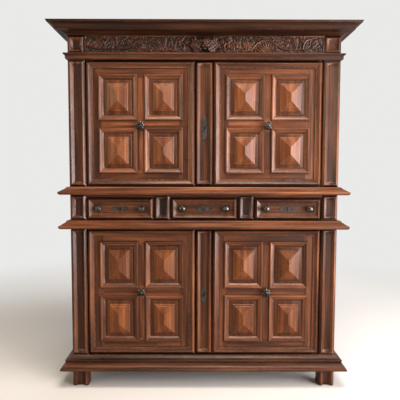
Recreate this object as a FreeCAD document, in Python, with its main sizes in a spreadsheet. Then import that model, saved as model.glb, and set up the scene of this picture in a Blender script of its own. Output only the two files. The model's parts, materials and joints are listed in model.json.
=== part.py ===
import FreeCAD, Part
import math
import os
import re
import Sketcher

# Court cupboard in two bodies: a lower cupboard with three drawers over it, and an upper cupboard
# with a carved frieze and a cornice. Millimetres, +Z up, +X to the viewer's right, front towards -Y.
# The origin is the middle of the overall plan, on the floor.

SIZES = {
    # Overall plan of the two bodies
    "lower_width": 1620,
    "upper_spread": 6,
    "case_depth": 560,
    "upper_setback": 6,
    "cornice_overhang": 95,
    # Heights, from the floor up
    "foot_height": 116,
    "plinth_base_height": 46,
    "plinth_cap_height": 34,
    "lower_door_height": 776,
    "belt_height": 49,
    "drawer_height": 134,
    "top_rail_height": 16,
    "table_thickness": 46,
    "upper_door_height": 743,
    "frieze_moulding_height": 36,
    "frieze_height": 106,
    "cornice_height": 62,
    # Clearances
    "door_gap": 5,
    "drawer_gap": 3,
    "drawer_side_gap": 4,
    "seat_play": 0.3,
    "panel_play": 0.4,
    "guide_play": 0.8,
    "pivot_play": 0.06,
    # Posts and boards of the carcass
    "lower_post_width": 98,
    "upper_post_width": 102,
    "post_depth": 70,
    "back_post_width": 70,
    "back_post_depth": 40,
    "side_thickness": 30,
    "side_panel_thickness": 10,
    "side_panel_setback": 10,
    "side_rail_height": 84,
    "side_rail_drop": 50,
    "upper_side_head_height": 190,
    "upper_side_rail_height": 100,
    "bottom_rail_drop": 10,
    "back_board_thickness": 12,
    "back_board_count": 6,
    "floor_thickness": 20,
    "shelf_thickness": 20,
    "shelf_setback": 16,
    "bearer_height": 28,
    "bearer_width": 20,
    "top_rail_setback": 6,
    "top_rail_depth": 30,
    "dust_board_thickness": 12,
    "dust_board_drop": 16,
    "top_board_thickness": 16,
    "frieze_sink": 10,
    "frieze_board_depth": 40,
    # Mask in the middle of the frieze
    "mask_width": 124,
    "mask_height": 84,
    "mask_drop": 2,
    "mask_rise": 14,
    "mask_inset": 14,
    "mask_head_width": 64,
    "mask_head_height": 74,
    "mask_head_rise": 44,
    "mask_head_inset": 12,
    # Ribs that frame the posts, blocks and pilasters
    "rib_height": 14,
    "rib_flat": 3,
    "post_bevel_outer": 14,
    "post_bevel_inner": 16,
    "pilaster_bevel_outer": 10,
    "pilaster_bevel_inner": 15,
    "foot_rib_spare": 40,
    # Doors
    "door_bevel_outer": 13,
    "door_bevel_inner": 20,
    "door_fillet": 5,
    "door_fillet_height": 4,
    "frame_thickness": 26,
    "stile_flat": 30,
    "rail_flat": 34,
    "muntin_width": 40,
    "mid_rail_width": 42,
    "moulding_width": 32,
    "moulding_lap": 10,
    "moulding_rise": 9,
    "moulding_sink": 6,
    "moulding_bevel": 3,
    "moulding_flat": 7,
    "moulding_shelf": 3,
    "moulding_foot": 9,
    "groove_depth": 8,
    "panel_edge": 8,
    "panel_margin": 4,
    "step_width": 2.5,
    "step_rise": 3,
    "low_terrace_width": 17,
    "low_terrace_rise": 4,
    "high_terrace_width": 10,
    "high_terrace_rise": 3,
    "diamond_rise": 15,
    # Centre pilasters
    "upper_pilaster_width": 102,
    "lower_pilaster_width": 96,
    "pilaster_end_gap": 4,
    "pilaster_back": 12,
    "pilaster_lap": 40,
    "pilaster_back_end": 30,
    # Pivots of the doors
    "pivot_inset": 24,
    "pivot_depth": 10,
    "pivot_radius": 5,
    "pivot_reach": 22,
    "pivot_plate_length": 34,
    "pivot_plate_width": 20,
    # Drawers
    "divider_width": 98,
    "drawer_back_gap": 20,
    "drawer_side": 12,
    "drawer_side_inset": 3,
    "drawer_side_height": 108,
    "drawer_back_drop": 18,
    "drawer_bottom_thickness": 8,
    "drawer_bottom_raise": 8,
    "runner_width": 36,
    "guide_height": 48,
    "pull_inset": 69.5,
    # Door knobs
    "knob_radius": 28,
    "knob_reach": 40,
    "knob_rose_radius": 17,
    "knob_rose_thickness": 4,
    "knob_neck_radius": 8,
    "knob_neck_length": 13,
    "knob_waist": 27,
    "knob_flute_radius": 5,
    "knob_flute_out": 3,
    "knob_flute_count": 8,
    "upper_knob_drop": 10,
    # Drawer knobs
    "pull_radius": 19,
    "pull_reach": 34,
    "pull_rose_radius": 13,
    "pull_rose_thickness": 3,
    "pull_neck_radius": 6,
    "pull_neck_length": 12,
    "pull_waist": 22,
    # Locks
    "plate_thickness": 2,
    "upper_plate_width": 32,
    "upper_plate_length": 154,
    "lower_plate_width": 32,
    "lower_plate_length": 94,
    "drawer_plate_width": 100,
    "drawer_plate_length": 30,
    "keyhole_width": 5,
    "keyhole_height": 18,
    "lock_width": 64,
    "lock_height": 86,
    "lock_depth": 16,
    "drawer_lock_height": 84,
    "bolt_width": 12,
    "bolt_thickness": 6,
    "bolt_length": 40,
    "bolt_play": 0.4,
    "upper_lock_level": 353,
    "lower_lock_level": 375,
    "bolt_level": 18,
    # Moulding profiles, as overhangs and rises
    "ledge_overhang": 56,
    "ledge_undercut": 8,
    "ledge_fascia": 14,
    "ledge_round": 6,
    "ledge_shelf": 4,
    "ledge_fillet": 2,
    "ledge_bead_overhang": 18,
    "ledge_bead": 8,
    "plinth_base_overhang": 59,
    "plinth_base_nose": 4,
    "plinth_base_fascia": 15,
    "plinth_base_shelf": 3,
    "plinth_base_fillet": 3,
    "plinth_cap_overhang": 34,
    "plinth_cap_quirk": 7,
    "plinth_cap_fascia": 15,
    "plinth_cap_top_overhang": 2,
    "frieze_moulding_overhang": 20,
    "frieze_moulding_fascia": 8,
    "frieze_moulding_bead_overhang": 10,
    "frieze_moulding_bead": 16,
    "frieze_moulding_fillet": 4,
    "cornice_inner": 24,
    "cornice_fillet_overhang": 60,
    "cornice_fillet_height": 13,
    "cornice_cove_height": 19,
    "cornice_cove_overhang": 54,
    "cornice_fascia": 12,
    "cornice_top_slope": 5,
}

# Where a plate's outline widens and narrows, as shares of its half width and half length.
PLATE_OUTLINE_SHARES = [
    (0.30, 1.00),
    (0.62, 0.90),
    (0.50, 0.80),
    (0.86, 0.70),
    (1.00, 0.52),
    (0.84, 0.36),
    (0.90, 0.12),
]

V = FreeCAD.Vector
FACING_VIEWER = FreeCAD.Rotation(V(0, 0, 1), 180)
AXIS_TO_VIEWER = FreeCAD.Rotation(V(1, 0, 0), 90)

doc = FreeCAD.newDocument("court_cupboard")
sheet = doc.addObject("Spreadsheet::Sheet", "Sizes")
for row, (word, value) in enumerate(SIZES.items(), start=1):
    sheet.set(f"A{row}", word)
    sheet.set(f"B{row}", str(value))
    sheet.setAlias(f"B{row}", word)
doc.recompute()

nodes = {}
os.makedirs("parts", exist_ok=True)


# Helpers that bind pieces to the sheet

def cell(text):
    """The text with the name of each size turned into its cell in the sheet."""
    def swap(found):
        word = found.group(0)
        return "Sizes." + word if word in SIZES else word
    return re.sub(r"[a-z][a-z_]*", swap, str(text))


def number(text):
    """What a sum of products of sizes comes to, to draw a sketch before it is bound."""
    total = 0.0
    for term in str(text).replace(" - ", " + -1 * ").split(" + "):
        product = 1.0
        for factor in term.split(" * "):
            product *= SIZES[factor] if factor in SIZES else float(factor)
        total += product
    return total


def bind(thing, place, text):
    thing.setExpression(place, cell(text))


def put(thing, x, y, z, turn=None):
    """Places a thing at x, y, z, turned if asked."""
    if turn is not None:
        thing.Placement = FreeCAD.Placement(V(), turn)
    for axis, text in zip("xyz", (x, y, z)):
        bind(thing, f"Placement.Base.{axis}", text)


def span(pair):
    return f"(({pair[1]}) - ({pair[0]}))"


def shrink(pair, inset):
    """The span taken in by inset at both ends."""
    return (f"({pair[0]}) + ({inset})", f"({pair[1]}) - ({inset})")


def middle(pair):
    return f"((({pair[0]}) + ({pair[1]})) / 2)"


# Helpers that make simple solids

def block(name, x, y, z):
    """A board that fills the spans x, y and z."""
    board = doc.addObject("Part::Box", "raw_" + name)
    bind(board, "Length", span(x))
    bind(board, "Width", span(y))
    bind(board, "Height", span(z))
    put(board, x[0], y[0], z[0])
    return board


def frustum(name, x, z, y_back, rise, inset_x, inset_z=None):
    """A block that fills x by z at y_back and comes towards the viewer, taken in by the insets."""
    inset_z = inset_x if inset_z is None else inset_z
    taper = doc.addObject("Part::Wedge", "raw_" + name)
    for place in ("Xmin", "Ymin", "Zmin"):
        bind(taper, place, "0")
    bind(taper, "Xmax", span(x))
    bind(taper, "Ymax", rise)
    bind(taper, "Zmax", span(z))
    bind(taper, "X2min", inset_x)
    bind(taper, "X2max", f"{span(x)} - ({inset_x})")
    bind(taper, "Z2min", inset_z)
    bind(taper, "Z2max", f"{span(z)} - ({inset_z})")
    put(taper, x[1], y_back, z[0], FACING_VIEWER)
    return taper


def hipped(name, x, z, y_back, rise):
    """A diamond with four slopes that meet in a ridge along its longer way."""
    roof = frustum(name, x, z, y_back, rise, "0")
    for axis, along, across in (("X", x, z), ("Z", z, x)):
        half_ridge = f"max(0; {span(along)} - {span(across)}) / 2"
        bind(roof, f"{axis}2min", f"{span(along)} / 2 - {half_ridge}")
        bind(roof, f"{axis}2max", f"{span(along)} / 2 + {half_ridge}")
    return roof


def rod(name, x, y, z_low, length, radius):
    """An upright round rod."""
    pin = doc.addObject("Part::Cylinder", "raw_" + name)
    bind(pin, "Radius", radius)
    bind(pin, "Height", length)
    put(pin, x, y, z_low)
    return pin


def cut(name, base, tool):
    result = doc.addObject("Part::Cut", "raw_" + name)
    result.Base = base
    result.Tool = tool
    return result


def fuse(name, pieces):
    result = doc.addObject("Part::MultiFuse", "raw_" + name)
    result.Shapes = pieces
    result.Refine = True
    return result


def common(name, pieces):
    result = doc.addObject("Part::MultiCommon", "raw_" + name)
    result.Shapes = pieces
    result.Refine = True
    return result


def group(name, pieces):
    """Separate solids kept together under one name."""
    result = doc.addObject("Part::Compound", "raw_" + name)
    result.Links = pieces
    return result


def node(name, thing):
    thing.Label = name
    nodes[name] = thing
    return thing


def mirrored(name, source):
    """The right-hand twin of a left-hand piece."""
    twin = doc.addObject("Part::Mirroring", "raw_" + name)
    twin.Source = source
    twin.Normal = (1, 0, 0)
    return twin


def mirror_node(name, source):
    return node(name, mirrored(name, source))


# Helpers that make ribs, sketches, swept mouldings and turned knobs

def ring(name, x, z, y_back, rise, outer, flat, inner):
    """A mitred rib round a sunk panel: an outer bevel, a narrow flat and an inner bevel."""
    hill = frustum(name + "_hill", x, z, y_back, rise, outer)
    whole = f"{outer} + {flat} + {inner}"
    hollow = frustum(name + "_hollow", shrink(x, whole), shrink(z, whole), y_back, rise, f"-({inner})")
    return cut(name, hill, hollow)


def mitred(name, whole, x, z, y, width):
    """The four lengths of a ring of moulding, parted at its mitres."""
    along_x, along_y, along_z = V(1, 0, 0), V(0, 1, 0), V(0, 0, 1)
    sides = {
        "left": (z, (x[0], y[0], z[0]), (along_z, along_x, along_y)),
        "right": (z, (x[1], y[1], z[0]), (along_z, -along_x, -along_y)),
        "bottom": (x, (x[0], y[1], z[0]), (along_x, along_z, -along_y)),
        "top": (x, (x[0], y[0], z[1]), (along_x, -along_z, along_y)),
    }
    lengths = []
    for side, (run, corner, axes) in sides.items():
        share = doc.addObject("Part::Wedge", f"raw_{name}_{side}_mitre")
        for place, text in (
                ("Xmin", "0"), ("Xmax", span(run)),
                ("X2min", width), ("X2max", f"{span(run)} - {width}"),
                ("Ymin", "0"), ("Ymax", width),
                ("Zmin", "0"), ("Zmax", span(y)), ("Z2min", "0"), ("Z2max", span(y))):
            bind(share, place, text)
        put(share, *corner, FreeCAD.Rotation(*axes, "XYZ"))
        lengths.append(common(f"{name}_{side}", [whole, share]))
    return lengths


def origin_plane(body, role):
    for feature in body.Origin.OriginFeatures:
        if feature.Role == role:
            return feature
    raise ValueError(role)


def arc_between(start, end, level):
    """The arc from start to end whose centre is level with, or plumb with, one of them."""
    fixed = start if level.startswith("start") else end
    other = end if level.startswith("start") else start
    dx, dy = other[0] - fixed[0], other[1] - fixed[1]
    if level.endswith("level"):
        centre = V(fixed[0] + (dx * dx + dy * dy) / (2 * dx), fixed[1], 0)
    else:
        centre = V(fixed[0], fixed[1] + (dx * dx + dy * dy) / (2 * dy), 0)
    radius = (V(fixed[0], fixed[1], 0) - centre).Length
    first = math.atan2(start[1] - centre.y, start[0] - centre.x)
    last = math.atan2(end[1] - centre.y, end[0] - centre.x)
    forward = (last - first) % (2 * math.pi) < math.pi
    ends = (first, last) if forward else (last, first)
    return Part.ArcOfCircle(Part.Circle(centre, V(0, 0, 1), radius), *ends), forward


def outline(body, name, role, points, closed=True):
    """A sketch through points, each (across, up) or (across, up, arc to the next point)."""
    sketch = body.newObject("Sketcher::SketchObject", name)
    sketch.AttachmentSupport = (origin_plane(body, role), [""])
    sketch.MapMode = "FlatFace"
    drawn = [(number(point[0]), number(point[1])) for point in points]
    count = len(points)
    edges = []
    for index in range(count if closed else count - 1):
        start, end = drawn[index], drawn[(index + 1) % count]
        if len(points[index]) > 2:
            curve, forward = arc_between(start, end, points[index][2])
        else:
            curve, forward = Part.LineSegment(V(*start, 0), V(*end, 0)), True
        edges.append((sketch.addGeometry(curve, False), forward))
    for index, point in enumerate(points):
        last = index == len(edges)
        edge, forward = edges[index - 1] if last else edges[index]
        corner = (2 if forward else 1) if last else (1 if forward else 2)
        for kind, text in zip(("DistanceX", "DistanceY"), point[:2]):
            rule = sketch.addConstraint(Sketcher.Constraint(kind, -1, 1, edge, corner, number(text)))
            sketch.setExpression(f"Constraints[{rule}]", cell(text))
        if index and not last or closed:
            before, before_forward = edges[index - 1]
            sketch.addConstraint(Sketcher.Constraint(
                "Coincident", before, 2 if before_forward else 1, edge, corner))
        if len(point) > 2:
            at_start = point[2].startswith("start")
            end_corner = corner if at_start else 3 - corner
            kind = "Horizontal" if point[2].endswith("level") else "Vertical"
            sketch.addConstraint(Sketcher.Constraint(kind, edge, 3, edge, end_corner))
    return sketch


def wrap_moulding(name, half_width, depth, bottom, points):
    """A moulding along the front and both sides, mitred at the corners.

    The points are (overhang, height) from the face that it is planted on and from its bottom.
    """
    body = doc.addObject("PartDesign::Body", "raw_" + name)
    far_half = "-1 * " + half_width.replace(" + ", " - ")
    path = outline(body, name + "_path", "XY_Plane", [
        (half_width, "0"),
        (half_width, depth),
        (far_half, depth),
        (far_half, "0"),
    ], closed=False)
    profile = outline(body, name + "_profile", "XZ_Plane", [
        (f"{half_width} + {point[0]}",) + tuple(point[1:]) for point in points])
    pipe = body.newObject("PartDesign::AdditivePipe", name + "_sweep")
    pipe.Profile = profile
    pipe.Spine = (path, ["Edge1", "Edge2", "Edge3"])
    pipe.Transition = "Right corner"
    body.Tip = pipe
    put(body, "0", BACK, bottom, FACING_VIEWER)
    return body


def turned_knob(name, x, y, z, kind, flutes):
    """A knob turned about an axis that points at the viewer, from its seat at y."""
    body = doc.addObject("PartDesign::Body", "raw_" + name)
    profile = outline(body, name + "_profile", "XZ_Plane", [
        ("0", "0"),
        (f"{kind}_rose_radius", "0"),
        (f"{kind}_rose_radius", f"{kind}_rose_thickness"),
        (f"{kind}_neck_radius", f"{kind}_rose_thickness"),
        (f"{kind}_neck_radius", f"{kind}_neck_length", "end level"),
        (f"{kind}_radius", f"{kind}_waist", "end plumb"),
        ("0", f"{kind}_reach"),
    ])
    turning = body.newObject("PartDesign::Revolution", name + "_turning")
    turning.Profile = profile
    turning.ReferenceAxis = (profile, ["V_Axis"])
    turning.Angle = 360
    body.Tip = turning
    if flutes:
        flute_sketch = body.newObject("Sketcher::SketchObject", name + "_flute")
        flute_sketch.AttachmentSupport = (origin_plane(body, "XY_Plane"), [""])
        flute_sketch.MapMode = "FlatFace"
        centre = V(number("knob_radius + knob_flute_out"), 0, 0)
        flute_sketch.addGeometry(Part.Circle(centre, V(0, 0, 1), number("knob_flute_radius")), False)
        rules = (
            ("DistanceX", (-1, 1, 0, 3), "knob_radius + knob_flute_out"),
            ("DistanceY", (-1, 1, 0, 3), "0"),
            ("Radius", (0,), "knob_flute_radius"),
        )
        for kind_of_rule, ends, text in rules:
            rule = flute_sketch.addConstraint(Sketcher.Constraint(kind_of_rule, *ends, number(text)))
            flute_sketch.setExpression(f"Constraints[{rule}]", cell(text))
        flute = body.newObject("PartDesign::Pocket", name + "_flute_cut")
        flute.Profile = flute_sketch
        flute.Type = "ThroughAll"
        flute.Reversed = True
        body.Tip = flute
        pattern = body.newObject("PartDesign::PolarPattern", name + "_flutes")
        pattern.Originals = [flute]
        pattern.Axis = (flute_sketch, ["N_Axis"])
        pattern.Angle = 360
        bind(pattern, "Occurrences", "knob_flute_count")
        body.Tip = pattern
    put(body, x, y, z, AXIS_TO_VIEWER)
    return body


def lock_plate(name, x, y, z, half_width, half_height, lengthwise):
    """A shaped iron plate with a keyhole, its back at y. Lengthwise plates lie on their side."""
    body = doc.addObject("PartDesign::Body", "raw_" + name)
    quarter = PLATE_OUTLINE_SHARES
    corners = list(quarter) + [(across, -along) for across, along in reversed(quarter)]
    corners += [(-across, -along) for across, along in quarter]
    corners += [(-across, along) for across, along in reversed(quarter)]
    points = []
    for across, along in corners:
        if lengthwise:
            points.append((f"{along} * {half_width}", f"{across} * {half_height}"))
        else:
            points.append((f"{across} * {half_width}", f"{along} * {half_height}"))
    shape = outline(body, name + "_outline", "XY_Plane", points)
    pad = body.newObject("PartDesign::Pad", name + "_plate")
    pad.Profile = shape
    bind(pad, "Length", "plate_thickness")
    hole = outline(body, name + "_hole", "XY_Plane", [
        ("-0.5 * keyhole_width", "-0.5 * keyhole_height"),
        ("0.5 * keyhole_width", "-0.5 * keyhole_height"),
        ("0.5 * keyhole_width", "0.5 * keyhole_height"),
        ("-0.5 * keyhole_width", "0.5 * keyhole_height"),
    ])
    pocket = body.newObject("PartDesign::Pocket", name + "_keyhole")
    pocket.Profile = hole
    pocket.Type = "ThroughAll"
    pocket.Reversed = True
    body.Tip = pocket
    put(body, x, y, z, AXIS_TO_VIEWER)
    return body


# Planes and levels that the pieces share

BACK = "((case_depth - upper_setback + cornice_overhang) / 2)"
LOWER_FRONT = f"({BACK} - case_depth)"
UPPER_FRONT = f"({LOWER_FRONT} + upper_setback)"
INNER_BACK = f"({BACK} - back_post_depth)"
LOWER_HALF = "(lower_width / 2)"
UPPER_HALF = "((lower_width + upper_spread) / 2)"
LOWER_OPENING = f"({LOWER_HALF} - lower_post_width)"
UPPER_OPENING = f"({UPPER_HALF} - upper_post_width)"
PLINTH_JOINT = "(foot_height + plinth_base_height)"
PLINTH_TOP = f"({PLINTH_JOINT} + plinth_cap_height)"
BELT_BOTTOM = f"({PLINTH_TOP} + lower_door_height + 2 * door_gap)"
BELT_TOP = f"({BELT_BOTTOM} + belt_height)"
DRAWER_BOTTOM = f"({BELT_TOP} + drawer_gap)"
TOP_RAIL_BOTTOM = f"({DRAWER_BOTTOM} + drawer_height + drawer_gap)"
TABLE_BOTTOM = f"({TOP_RAIL_BOTTOM} + top_rail_height)"
TABLE_TOP = f"({TABLE_BOTTOM} + table_thickness)"
DOOR_HEAD = f"({TABLE_TOP} + upper_door_height + 2 * door_gap)"
FRIEZE_BOTTOM = f"({DOOR_HEAD} + frieze_moulding_height)"
FRIEZE_TOP = f"({FRIEZE_BOTTOM} + frieze_height)"
DUST_TOP = f"({BELT_TOP} - dust_board_drop)"
DOOR_RIB = "(door_bevel_outer + rib_flat + door_bevel_inner + door_fillet)"


# Posts and blocks with a ribbed face

def ribbed_face(name, kind, x, y_front, z):
    """The rib round one panel of a post or pilaster, standing rib_height proud of the ground."""
    return ring(name, x, z, f"{y_front} + rib_height", "rib_height",
                f"{kind}_bevel_outer", "rib_flat", f"{kind}_bevel_inner")


def ribbed_post(name, x, y_front, z, panels, bands):
    """A post with ribbed panels on its face, and plain bands where mouldings are planted."""
    pieces = [block(name + "_core", x, (f"{y_front} + rib_height", f"{y_front} + post_depth"), z)]
    for index, panel in enumerate(panels, start=1):
        pieces.append(ribbed_face(f"{name}_panel_{index}", "post", x, y_front, panel))
    for index, band in enumerate(bands, start=1):
        pieces.append(block(f"{name}_band_{index}", x, (y_front, f"{y_front} + rib_height"), band))
    whole = block(name + "_whole", x, (y_front, f"{y_front} + post_depth"), z)
    return common(name, [fuse(name + "_joined", pieces), whole])


def make_posts():
    lower_x = (f"-{LOWER_HALF}", f"-{LOWER_OPENING}")
    foot_panel = ("-foot_rib_spare", "foot_height + foot_rib_spare")
    lower = node("lower_post_front_left", ribbed_post(
        "lower_post", lower_x, LOWER_FRONT, ("0", TABLE_BOTTOM),
        [foot_panel, (PLINTH_TOP, BELT_BOTTOM), (BELT_TOP, TABLE_BOTTOM)],
        [("foot_height", PLINTH_TOP), (BELT_BOTTOM, BELT_TOP)]))
    mirror_node("lower_post_front_right", lower)
    upper_x = (f"-{UPPER_HALF}", f"-{UPPER_OPENING}")
    upper = node("upper_post_front_left", ribbed_post(
        "upper_post", upper_x, UPPER_FRONT, (TABLE_TOP, FRIEZE_TOP),
        [(TABLE_TOP, DOOR_HEAD), (FRIEZE_BOTTOM, FRIEZE_TOP)],
        [(DOOR_HEAD, FRIEZE_BOTTOM)]))
    mirror_node("upper_post_front_right", upper)


# Carcass of the lower body

def make_lower_case():
    inner = f"({LOWER_HALF} - side_thickness)"
    panel_inner = f"({LOWER_HALF} - side_panel_setback - side_panel_thickness)"
    behind_posts = f"({LOWER_FRONT} + post_depth)"
    depth = (behind_posts, INNER_BACK)
    width = (f"-{inner}", inner)
    node("lower_front_rails", group("lower_front_rails", [
        block("bottom_rail", (f"-{LOWER_OPENING}", LOWER_OPENING), (LOWER_FRONT, behind_posts),
              ("foot_height", PLINTH_TOP)),
        block("middle_rail", (f"-{LOWER_OPENING}", LOWER_OPENING), (LOWER_FRONT, behind_posts),
              (BELT_BOTTOM, BELT_TOP)),
        block("top_rail", (f"-{LOWER_OPENING}", LOWER_OPENING),
              (f"{LOWER_FRONT} + top_rail_setback",
               f"{LOWER_FRONT} + top_rail_setback + top_rail_depth"),
              (TOP_RAIL_BOTTOM, TABLE_BOTTOM)),
    ]))
    side_x = (f"-{LOWER_HALF}", f"-{inner}")
    rail_low = "(foot_height + bottom_rail_drop)"
    rail_high = f"({rail_low} + side_rail_height)"
    board_low = f"({BELT_BOTTOM} - side_rail_drop)"
    left = node("lower_side_left", group("lower_side_left", [
        block("lower_back_post", (f"-{LOWER_HALF}", f"-{LOWER_HALF} + back_post_width"),
              (INNER_BACK, BACK), ("0", TABLE_BOTTOM)),
        block("lower_side_rail", side_x, depth, (rail_low, rail_high)),
        block("lower_side_board", side_x, depth, (board_low, TABLE_BOTTOM)),
        block("lower_side_panel", (f"-{LOWER_HALF} + side_panel_setback", f"-{panel_inner}"),
              depth, (rail_high, board_low)),
    ]))
    mirror_node("lower_side_right", left)
    boards_half = f"({LOWER_HALF} - back_post_width)"
    node("lower_back_boards", back_boards("lower_back", boards_half, (rail_low, TABLE_BOTTOM)))
    node("lower_floor", block("lower_floor", width, depth,
                              (f"{PLINTH_TOP} - floor_thickness", PLINTH_TOP)))
    node("lower_shelf", shelf("lower_shelf", panel_inner, LOWER_FRONT,
                              middle((PLINTH_TOP, BELT_BOTTOM))))
    node("dust_board", block("dust_board", width, depth,
                             (f"{DUST_TOP} - dust_board_thickness", DUST_TOP)))


def back_boards(name, half, z):
    """Upright boards side by side between the back posts."""
    boards = []
    for index in range(SIZES["back_board_count"]):
        left = f"-{half} + 2 * {half} * {index} / back_board_count"
        right = f"-{half} + 2 * {half} * {index + 1} / back_board_count"
        boards.append(block(f"{name}_{index + 1}", (left, right),
                            (INNER_BACK, f"{INNER_BACK} + back_board_thickness"), z))
    return group(name, boards)


def shelf(name, half, front, top):
    """A shelf with a bearer under each end."""
    depth = (f"{front} + post_depth + shelf_setback", INNER_BACK)
    low = f"({top} - shelf_thickness)"
    under = (f"{low} - bearer_height", low)
    return group(name, [
        block(name + "_board", (f"-{half}", half), depth, (low, top)),
        block(name + "_bearer_left", (f"-{half}", f"-{half} + bearer_width"), depth, under),
        block(name + "_bearer_right", (f"{half} - bearer_width", half), depth, under),
    ])


# Carcass of the upper body

def make_upper_case():
    inner = f"({UPPER_HALF} - side_thickness)"
    panel_inner = f"({UPPER_HALF} - side_panel_setback - side_panel_thickness)"
    behind_posts = f"({UPPER_FRONT} + post_depth)"
    depth = (behind_posts, INNER_BACK)
    side_x = (f"-{UPPER_HALF}", f"-{inner}")
    panel_x = (f"-{UPPER_HALF} + side_panel_setback", f"-{panel_inner}")
    foot_rail = (TABLE_TOP, f"{TABLE_TOP} + upper_side_rail_height")
    head_rail = (f"{FRIEZE_TOP} - upper_side_head_height", FRIEZE_TOP)
    halfway = middle((TABLE_TOP, DOOR_HEAD))
    mid_rail = (f"{halfway} - side_rail_height / 2", f"{halfway} + side_rail_height / 2")
    left = node("upper_side_left", group("upper_side_left", [
        block("upper_back_post", (f"-{UPPER_HALF}", f"-{UPPER_HALF} + back_post_width"),
              (INNER_BACK, BACK), (TABLE_TOP, FRIEZE_TOP)),
        block("upper_side_foot_rail", side_x, depth, foot_rail),
        block("upper_side_mid_rail", side_x, depth, mid_rail),
        block("upper_side_head_rail", side_x, depth, head_rail),
        block("upper_side_low_panel", panel_x, depth, (foot_rail[1], mid_rail[0])),
        block("upper_side_high_panel", panel_x, depth, (mid_rail[1], head_rail[0])),
    ]))
    mirror_node("upper_side_right", left)
    boards_half = f"({UPPER_HALF} - back_post_width)"
    node("upper_back_boards", back_boards("upper_back", boards_half, (TABLE_TOP, FRIEZE_TOP)))
    node("upper_floor", block("upper_floor", (f"-{inner}", inner), depth,
                              (TABLE_TOP, f"{TABLE_TOP} + floor_thickness")))
    node("upper_shelf", shelf("upper_shelf", inner, UPPER_FRONT,
                              f"({halfway} + (shelf_thickness + bearer_height) / 2)"))
    opening = (f"-{UPPER_OPENING}", UPPER_OPENING)
    field = f"({UPPER_FRONT} + frieze_sink)"
    board = fuse("frieze_rail", [
        block("frieze_field", opening, (field, f"{UPPER_FRONT} + frieze_board_depth"),
              (DOOR_HEAD, FRIEZE_TOP)),
        block("frieze_seat", opening, (UPPER_FRONT, field), (DOOR_HEAD, FRIEZE_BOTTOM)),
    ])
    mask_z = (f"{FRIEZE_TOP} - mask_drop - mask_height", f"{FRIEZE_TOP} - mask_drop")
    head_gap = "((mask_height - mask_head_height) / 2)"
    mask = fuse("frieze_mask", [
        frustum("mask_ground", ("-mask_width / 2", "mask_width / 2"), mask_z, field,
                "mask_rise", "mask_inset"),
        frustum("mask_head", ("-mask_head_width / 2", "mask_head_width / 2"),
                shrink(mask_z, head_gap), field, "mask_head_rise", "mask_head_inset"),
    ])
    node("frieze_board", group("frieze_board", [board, mask]))
    head_half = f"({UPPER_HALF} - cornice_inner)"
    node("top_board", block("top_board", (f"-{head_half}", head_half),
                            (f"{UPPER_FRONT} + cornice_inner", BACK),
                            (FRIEZE_TOP, f"{FRIEZE_TOP} + top_board_thickness")))


# Mouldings round the case

def ledge_profile(height):
    """A ledge: undercut below its nose, a fillet over the nose, then a slope up to a bead."""
    shelf_edge = "ledge_overhang - ledge_round - ledge_shelf"
    return [
        ("0", "0"),
        ("ledge_overhang - ledge_undercut", "0"),
        ("ledge_overhang", "ledge_undercut"),
        ("ledge_overhang", "ledge_fascia", "start level"),
        ("ledge_overhang - ledge_round", "ledge_fascia + ledge_round"),
        (shelf_edge, "ledge_fascia + ledge_round"),
        (shelf_edge, "ledge_fascia + ledge_round + ledge_fillet"),
        ("ledge_bead_overhang", f"{height} - ledge_bead", "start level"),
        ("ledge_bead_overhang - ledge_bead", height),
        ("0", height),
    ]


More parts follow.
